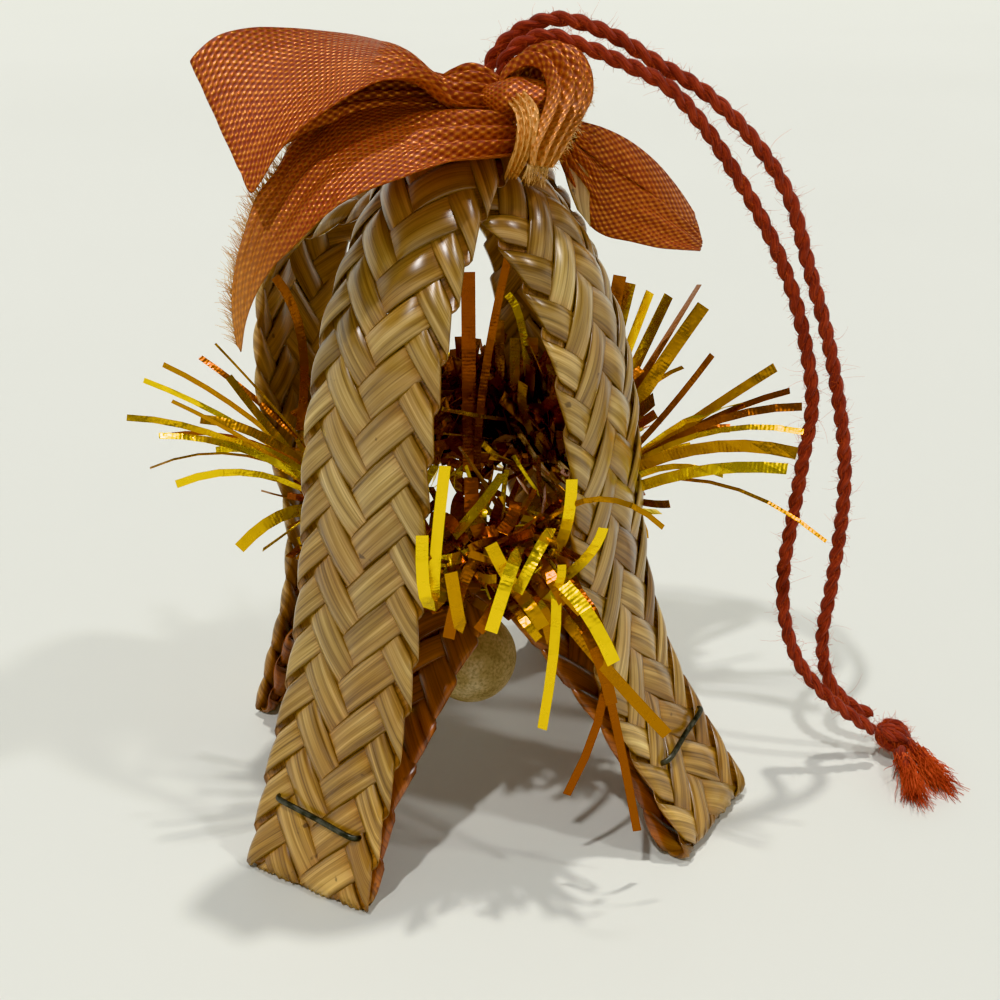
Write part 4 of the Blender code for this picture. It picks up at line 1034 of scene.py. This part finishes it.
def make_ribbon(finish, fray_finish):
    """Main ribbon, as strips for tail, loop, tail and hem that end in a knot core, then the tie
    wrapped over the core, and the frayed threads."""
    right = ribbon_strip(RIBBON_RIGHT_TAIL, 0.0, 11.9, 5)
    loop = ribbon_strip(RIBBON_LOOP, right[2], flat_row=14)
    front = ribbon_strip(RIBBON_FRONT_TAIL, right[2] + loop[2], RIBBON_WIDTH, 7)
    hem = ribbon_strip(RIBBON_HEM, 0.0, 4.0, 2)
    parts = [right, loop, front, hem]
    whole = right[2] + loop[2] + front[2]
    points, faces, uv = strip_mesh(parts)
    ribbon = make_piece("ribbon_loop_and_tails", points, faces, finish, "ribbon", uv,
                        worn=0.4 * ease((uv[:, 1] - whole + 22.0) / 22.0))
    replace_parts(ribbon, "ribbon_bow")

    around = ribbon_strip(RIBBON_TIE)
    over = ribbon_strip(RIBBON_WRAP, around[2], 5.0)
    points, faces, uv = strip_mesh([around, over])
    tie = make_piece("ribbon_tie", points, faces, finish, "ribbon", uv,
                     worn=0.7 * ease((uv[:, 1] - 0.3 * around[2]) / around[2]))

    # Core of the knot: an ellipsoid with seven shallow folds that run round it at a slant
    polar = np.linspace(0.02, math.pi - 0.02, 40)[None, :]
    turn = np.linspace(0.0, 2.0 * math.pi, 97)[:-1][:, None]
    swell = 1.0 + 0.06 * np.sin(7.0 * polar + 2.0 * np.sin(turn))
    ball = np.stack([np.cos(polar) * np.ones_like(turn), np.sin(polar) * np.cos(turn) * swell,
                     np.sin(polar) * np.sin(turn) * swell], axis=-1)
    knot_uv = np.stack([3.0 * polar + 0.0 * turn, 4.0 * turn + 0.0 * polar], axis=-1)
    knot = make_piece("ribbon_knot", in_object(ball * KNOT_RADII + KNOT_CENTRE),
                      tube_faces(1, 96, 40, closed=True), finish, "ribbon", knot_uv)

    rng = np.random.default_rng(5)
    tail_hairs = edge_hairs(rng, RIBBON_FRONT_TAIL[8:], 320, (-0.35, 0.0, -0.1), 0.28, (0.6, 2.2), 0.04)
    side_hairs = edge_hairs(rng, RIBBON_TIE[4:], 260, (0.2, 0.0, -0.3), 0.35, (0.4, 1.5), 0.035)
    far, near = (np.array(RIBBON_TIE[-1][i]) for i in (0, 2))
    share = rng.uniform(0.0, 1.0, (90, 1))
    aims = unit(np.array([(-0.25, -0.15, -1.0)]) + rng.normal(0.0, 0.18, (90, 3)))
    end_hairs = hairs(in_object(far * share + near * (1.0 - share)), in_object(aims),
                      rng.uniform(0.8, 2.4, 90), 0.05, 0.2, rng)
    frays = [make_piece(name, *made, fray_finish, "ribbon") for name, made in
             (("ribbon_tail_fray", tail_hairs), ("ribbon_tie_fray", side_hairs),
              ("ribbon_tie_end", end_hairs))]


# Yarn

def plies(line, offset, radius, lay, up, sides=10):
    """Two plies wound about a line: each centre runs round it once in every lay."""
    tangent = unit(np.gradient(line, axis=0))
    across = unit(np.cross(tangent, np.broadcast_to(up, tangent.shape)))
    above = np.cross(across, tangent)
    turn = -2.0 * np.pi * lengths_along(line) / lay
    wound = np.array([line + offset * (across * np.cos(turn + half)[:, None]
                                       + above * np.sin(turn + half)[:, None])
                      for half in (0.0, np.pi)])
    rise = np.minimum(np.arange(len(line)), np.arange(len(line))[::-1]) / 3.0
    radii = radius * np.sqrt(np.clip(rise, 0.0004, 1.0))
    rods = round_rods(wound, radii[None, :], sides, up)
    s = lengths_along(line)[None, :, None]
    v = np.arange(sides)[None, None, :] * 2.0 * np.pi * radius / sides
    ply = np.arange(2)[:, None, None]
    uv = np.stack([s + PLY_MAP_GAP * ply + 0.0 * v, v + 0.0 * s + 0.0 * ply], axis=-1)
    return rods, tube_faces(2, len(line), sides), uv


def fuzz(lines, count, rng, reach, radius, steps=5):
    """Loose fibres that leave yarn lines at a slant; most are near the shorter reach."""
    line = np.vstack(lines)
    pick = rng.integers(0, len(line) - 1, count)
    tangent = unit(line[pick + 1] - line[pick] + 1e-6)
    away = unit(np.cross(tangent, rng.normal(0.0, 1.0, (count, 3))))
    roots = line[pick] + away * 0.6
    aims = unit(away + tangent * rng.normal(0.0, 0.7, (count, 1)) + rng.normal(0.0, 0.3, (count, 3)))
    lengths = rng.uniform(0.0, 1.0, count) ** 2 * (reach[1] - reach[0]) + reach[0]
    return hairs(roots, aims, lengths, radius, 0.9, rng, steps=steps)


def yarn_run(name, points, finish, node):
    """One run of the hanging loop, on the same route as its CAD tube."""
    line = in_object(even_line(points, 380))
    rods, faces, uv = plies(line, 0.37, 0.58, YARN_LAY, in_object([(0.0, 1.0, 0.0)])[0])
    run = make_piece(name, rods, faces, finish, "wool", uv)
    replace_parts(run, node)
    return run, line


def knot_rings():
    """The knot, drawn as five rings of yarn about one centre, as on a ball of string: each is
    size times the cosine and sine of even turns, on two axes square to each other."""
    turn = np.linspace(0.0, 2.0 * np.pi, 90)[:, None]
    rings = []
    for tilt, lean, size in ((0.2, 0.4, 1.6), (1.2, -0.5, 1.65), (2.2, 0.7, 1.55), (0.7, 1.3, 1.4),
                             (2.7, -0.9, 1.2)):
        first = np.array([math.cos(tilt), math.sin(tilt) * math.cos(lean),
                          math.sin(tilt) * math.sin(lean)])
        second = unit(np.cross(first, (0.3, -math.sin(lean), math.cos(lean))))
        rings.append(in_object(np.array(YARN_KNOT_CENTRE)
                               + size * (first * np.cos(turn) + second * np.sin(turn))))
    return rings


def make_yarn(finish, loose_finish):
    """The hanging loop: two runs, their knot, its two frayed ends, and loose fibres."""
    rng = np.random.default_rng(3)
    outer, outer_line = yarn_run("yarn_outer", YARN_OUTER, finish, "yarn_run_outer")
    inner, inner_line = yarn_run("yarn_inner", YARN_INNER, finish, "yarn_run_inner")

    rings = knot_rings()
    tails = [in_object(even_line([root, 0.5 * (np.array(root) + tip) + (0.0, 0.0, 0.4), tip], 40))
             for root, tip in YARN_TAILS]
    made = [plies(ring, 0.36, 0.56, 3.6, (0.2, 0.3, 0.93), 8) for ring in rings]
    made += [plies(tail[:28], 0.37, 0.6, 5.0, (0.0, 0.0, 1.0), 8) for tail in tails]
    starts = np.cumsum([0] + [rods[..., 0].size for rods, _, _ in made])
    points = np.vstack([rods.reshape(-1, 3) for rods, _, _ in made])
    points[:, 2] = np.maximum(points[:, 2], 0.1)
    faces = np.vstack([quads + start for (_, quads, _), start in zip(made, starts)])
    uv = np.vstack([uv.reshape(-1, 2) for _, _, uv in made])
    knot = make_piece("yarn_end_knot", points, faces, finish, "wool", uv)
    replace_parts(knot, "yarn_knot")

    lines = [outer_line, inner_line]
    short_fuzz = make_piece("yarn_fuzz", *fuzz(lines, 5200, rng, (0.25, 0.9), 0.03, 3),
                            loose_finish, "wool")
    long_fuzz = make_piece("yarn_long_fuzz", *fuzz(lines, 420, rng, (0.9, 3.0), 0.02),
                           loose_finish, "wool")
    knot_fuzz = make_piece("yarn_knot_fuzz", *fuzz(rings + tails, 1500, rng, (0.3, 1.3), 0.03),
                           loose_finish, "wool")

    # Frayed ends: wavy fibres that fan out from the last half of each tail
    count = 420
    roots, aims = [], []
    for tail in tails:
        pick = rng.integers(8, len(tail) - 6, count)
        roots.append(tail[pick] + rng.normal(0.0, 0.45, (count, 3)))
        aims.append(unit(tail[-1] - tail[8]) + rng.normal(0.0, 0.20, (count, 3)) * (1.0, 1.0, 0.6))
    roots, aims = np.vstack(roots), unit(np.vstack(aims))
    roots[:, 2] = np.maximum(roots[:, 2], 0.3)
    brush = make_piece("yarn_end_brushes",
                       *hairs(roots, aims, rng.uniform(2.0, 6.0, len(roots)), 0.07, 0.12, rng, 0.18, 9),
                       loose_finish, "wool")


# Bead, thread and staples

def make_bead(finish):
    """Ball turned about +Z: radius times sine and cosine of the polar angle, with a straight
    hole down its middle, and its surface raised and sunk by a few slow waves."""
    low, high = (np.array(corner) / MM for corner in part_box("clapper_bead"))
    centre, radius = 0.5 * (low + high), 0.5 * (high - low)[2]
    polar = np.linspace(BEAD_HOLE, math.pi - BEAD_HOLE, 56)
    hole = np.linspace(math.pi - BEAD_HOLE, BEAD_HOLE, 10)[1:-1]
    rho = np.concatenate([np.sin(polar), np.full(len(hole), math.sin(BEAD_HOLE))])
    z = np.cos(np.concatenate([polar, hole]))
    turn = np.linspace(0.0, 2.0 * math.pi, 73)[:-1][:, None]
    wave = 1.0 + 0.006 * np.sin(3.0 * turn + 4.0 * z) + 0.005 * np.cos(5.0 * turn - 7.0 * z)
    points = np.stack([rho * np.cos(turn) * wave, rho * np.sin(turn) * wave,
                       z * np.ones_like(turn)], axis=-1) * radius + centre
    bead = make_piece("bead", points, tube_faces(1, len(turn), len(z), closed=True), finish, "bead")
    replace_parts(bead, "clapper_bead")


def make_thread(finish):
    """Two-ply tie from inside the bead up to the arch."""
    low, high = (np.array(corner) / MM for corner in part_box("clapper_thread"))
    z = np.linspace(low[2] - 2.0, high[2] + 0.2, 60)
    line = np.stack([0.15 * np.sin(0.9 * z), 0.1 * np.cos(0.7 * z), z], axis=-1)
    rods, faces, uv = plies(line, 0.2, 0.24, 1.6, (0.0, 1.0, 0.0), sides=8)
    thread = make_piece("bead_thread", rods, faces, finish, "thread", uv)
    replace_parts(thread, "clapper_thread")


def make_staple(leg, finish):
    """Flattened wire with rounded bends, on the main axes of its CAD node: crown on the
    outside, legs through the plait, ends clinched inwards."""
    node = f"staple_{leg}"
    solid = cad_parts[node].data
    points = np.empty(len(solid.vertices) * 3)
    solid.vertices.foreach_get("co", points)
    points = points.reshape(-1, 3) / MM
    axes = np.linalg.eigh(np.cov(np.unique(np.round(points, 3), axis=0).T))[1].T
    across, out = axes[2], axes[1]
    mean = 0.5 * (points.min(axis=0) + points.max(axis=0))
    if out[:2] @ mean[:2] < 0.0:
        out = -out
    spans = [(points @ axis).min() + (points @ axis).max() for axis in (across, out)]
    third = np.cross(across, out)
    centre = 0.5 * (across * spans[0] + out * spans[1]
                    + third * ((points @ third).min() + (points @ third).max()))
    half = 0.5 * np.ptp(points @ across) - 0.3
    top = 0.5 * np.ptp(points @ out) - 0.3
    corner, clinch = 0.45, 3.0
    path = [(half - clinch, -top), (half - corner, -top), (half, corner - top), (half, top - corner),
            (half - corner, top), (0.0, top)]
    path = path + [(-x, y) for x, y in reversed(path[:-1])]
    flat = even_line(path, 90)
    line = centre + flat[:, :1] * across + flat[:, 1:] * out
    rods = round_rods(line[None], 0.3, 10, third)
    wide = ((rods - line[None, :, None]) @ third)[..., None] * third
    rods = line[None, :, None] + 0.85 * (rods - line[None, :, None]) + 0.42 * wide
    staple = make_piece(f"staple_wire_{leg}", rods, tube_faces(1, 90, 10), finish, "steel")
    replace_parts(staple, node)


# Stage

def place_camera():
    """Camera CAMERA_DISTANCE from its aim, in front of the bow and CAMERA_RISE above level."""
    data = bpy.data.cameras.new("camera")
    data.lens = CAMERA_LENS
    data.sensor_width = 36.0
    data.clip_start = 0.01
    camera = bpy.data.objects.new("camera", data)
    turned = math.cos(CAMERA_RISE)
    back = Vector((math.sin(BOW_TURN) * turned, -math.cos(BOW_TURN) * turned, math.sin(CAMERA_RISE)))
    camera.location = (Vector(in_object(CAMERA_AIM)) + back * CAMERA_DISTANCE) * MM
    camera.rotation_euler = back.to_track_quat("Z", "Y").to_euler()
    bpy.context.scene.collection.objects.link(camera)
    bpy.context.scene.camera = camera


def place_lamp(name, direction, strength, spread, colour):
    """Distant soft lamp that shines from a direction of the bow frame."""
    data = bpy.data.lights.new(name, "SUN")
    data.energy = strength
    data.angle = math.radians(spread)
    data.color = linear(colour)[:3]
    lamp = bpy.data.objects.new(name, data)
    lamp.rotation_euler = Vector(in_object(direction)).to_track_quat("Z", "Y").to_euler()
    bpy.context.scene.collection.objects.link(lamp)


def stage_piece(name, points, faces, finish):
    """One mesh of the surroundings, which is no part of the object."""
    mesh = bpy.data.meshes.new(name)
    mesh.from_pydata((points * MM).tolist(), [], faces.tolist())
    mesh.shade_smooth()
    mesh.materials.append(finish)
    piece = bpy.data.objects.new(name, mesh)
    bpy.context.scene.collection.objects.link(piece)


def make_stage():
    """Pale table, a pale wall that sweeps up round it, and the lamps."""
    table_finish, tree, shader = new_material("pale table")
    place = add_node(tree, "TexCoord", out="Object")
    drifts = add_node(tree, "TexNoise", {"Vector": place, "Scale": 3.0, "Detail": 2.0})
    colour = add_node(tree, "ValToRGB", {"Fac": drifts}, stops=[(0.3, "#DDDED7"), (0.7, "#E1E2DB")])
    set_inputs(tree, shader, {"Base Color": colour, "Roughness": 0.5})
    corner = np.array([(-1.0, -1.0, 0.0), (1.0, -1.0, 0.0), (1.0, 1.0, 0.0), (-1.0, 1.0, 0.0)])
    stage_piece("table", corner * WALL_RADIUS, np.array([[0, 1, 2, 3]]), table_finish)

    wall_finish, tree, shader = new_material("pale wall")
    set_inputs(tree, shader, {"Base Color": "#E1E2DB", "Roughness": 0.6, "Emission Color": "#E6E6DE",
                              "Emission Strength": WALL_GLOW})
    profile = smooth(WALL_PROFILE, 6)
    turn = np.linspace(0.0, 2.0 * math.pi, 97)[:-1][:, None]
    wall = np.stack([profile[:, 0] * np.cos(turn), profile[:, 0] * np.sin(turn),
                     profile[:, 1] + 0.0 * turn], axis=-1).reshape(-1, 3)
    faces = tube_faces(1, 96, len(profile), closed=True)
    stage_piece("wall", wall * WALL_RADIUS, faces, wall_finish)

    world = bpy.data.worlds.new("room")
    world.use_nodes = True
    background = world.node_tree.nodes["Background"]
    set_inputs(world.node_tree, background, {"Color": "#E6E9EC", "Strength": ROOM_LIGHT})
    bpy.context.scene.world = world
    for name, direction, strength, spread, colour in LAMPS:
        place_lamp(name, direction, strength, spread, colour)
    bpy.context.scene.view_settings.view_transform = "Khronos PBR Neutral"


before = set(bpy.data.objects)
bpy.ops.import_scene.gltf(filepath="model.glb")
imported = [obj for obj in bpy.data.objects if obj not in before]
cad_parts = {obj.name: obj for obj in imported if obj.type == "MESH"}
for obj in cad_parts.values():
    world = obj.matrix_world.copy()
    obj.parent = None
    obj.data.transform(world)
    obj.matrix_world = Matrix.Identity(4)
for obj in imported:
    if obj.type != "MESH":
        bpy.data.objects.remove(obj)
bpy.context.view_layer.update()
place_camera()

make_yarn(wool_material(), fibre_material("loose wool fibres", "#DA6842", "#AC4226", 1.0))

straw = straw_material()
over = Band("front", "back", 0.0, CROWN_TOP, ARCH_TOP - BAND_STEP)
under = Band("left", "right", -90.0, CROWN_TOP - BAND_STEP, ARCH_TOP)
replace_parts(woven_band("plait_over", over, straw, 21, -0.1), "straw_band_over")
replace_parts(woven_band("plait_under", under, straw, 22, 0.3), "straw_band_under")
make_loose_straw(straw)

make_ribbon(ribbon_material(), fibre_material("frayed gold thread", "#F0CE96", "#C98A48", 0.4))
make_tinsel(foil_material())
make_bead(bead_material())
make_thread(fibre_material("cotton tie", "#BCAA84", "#8E7C58", 0.9))
steel = steel_material()
for leg in LEGS:
    make_staple(leg, steel)
make_stage()
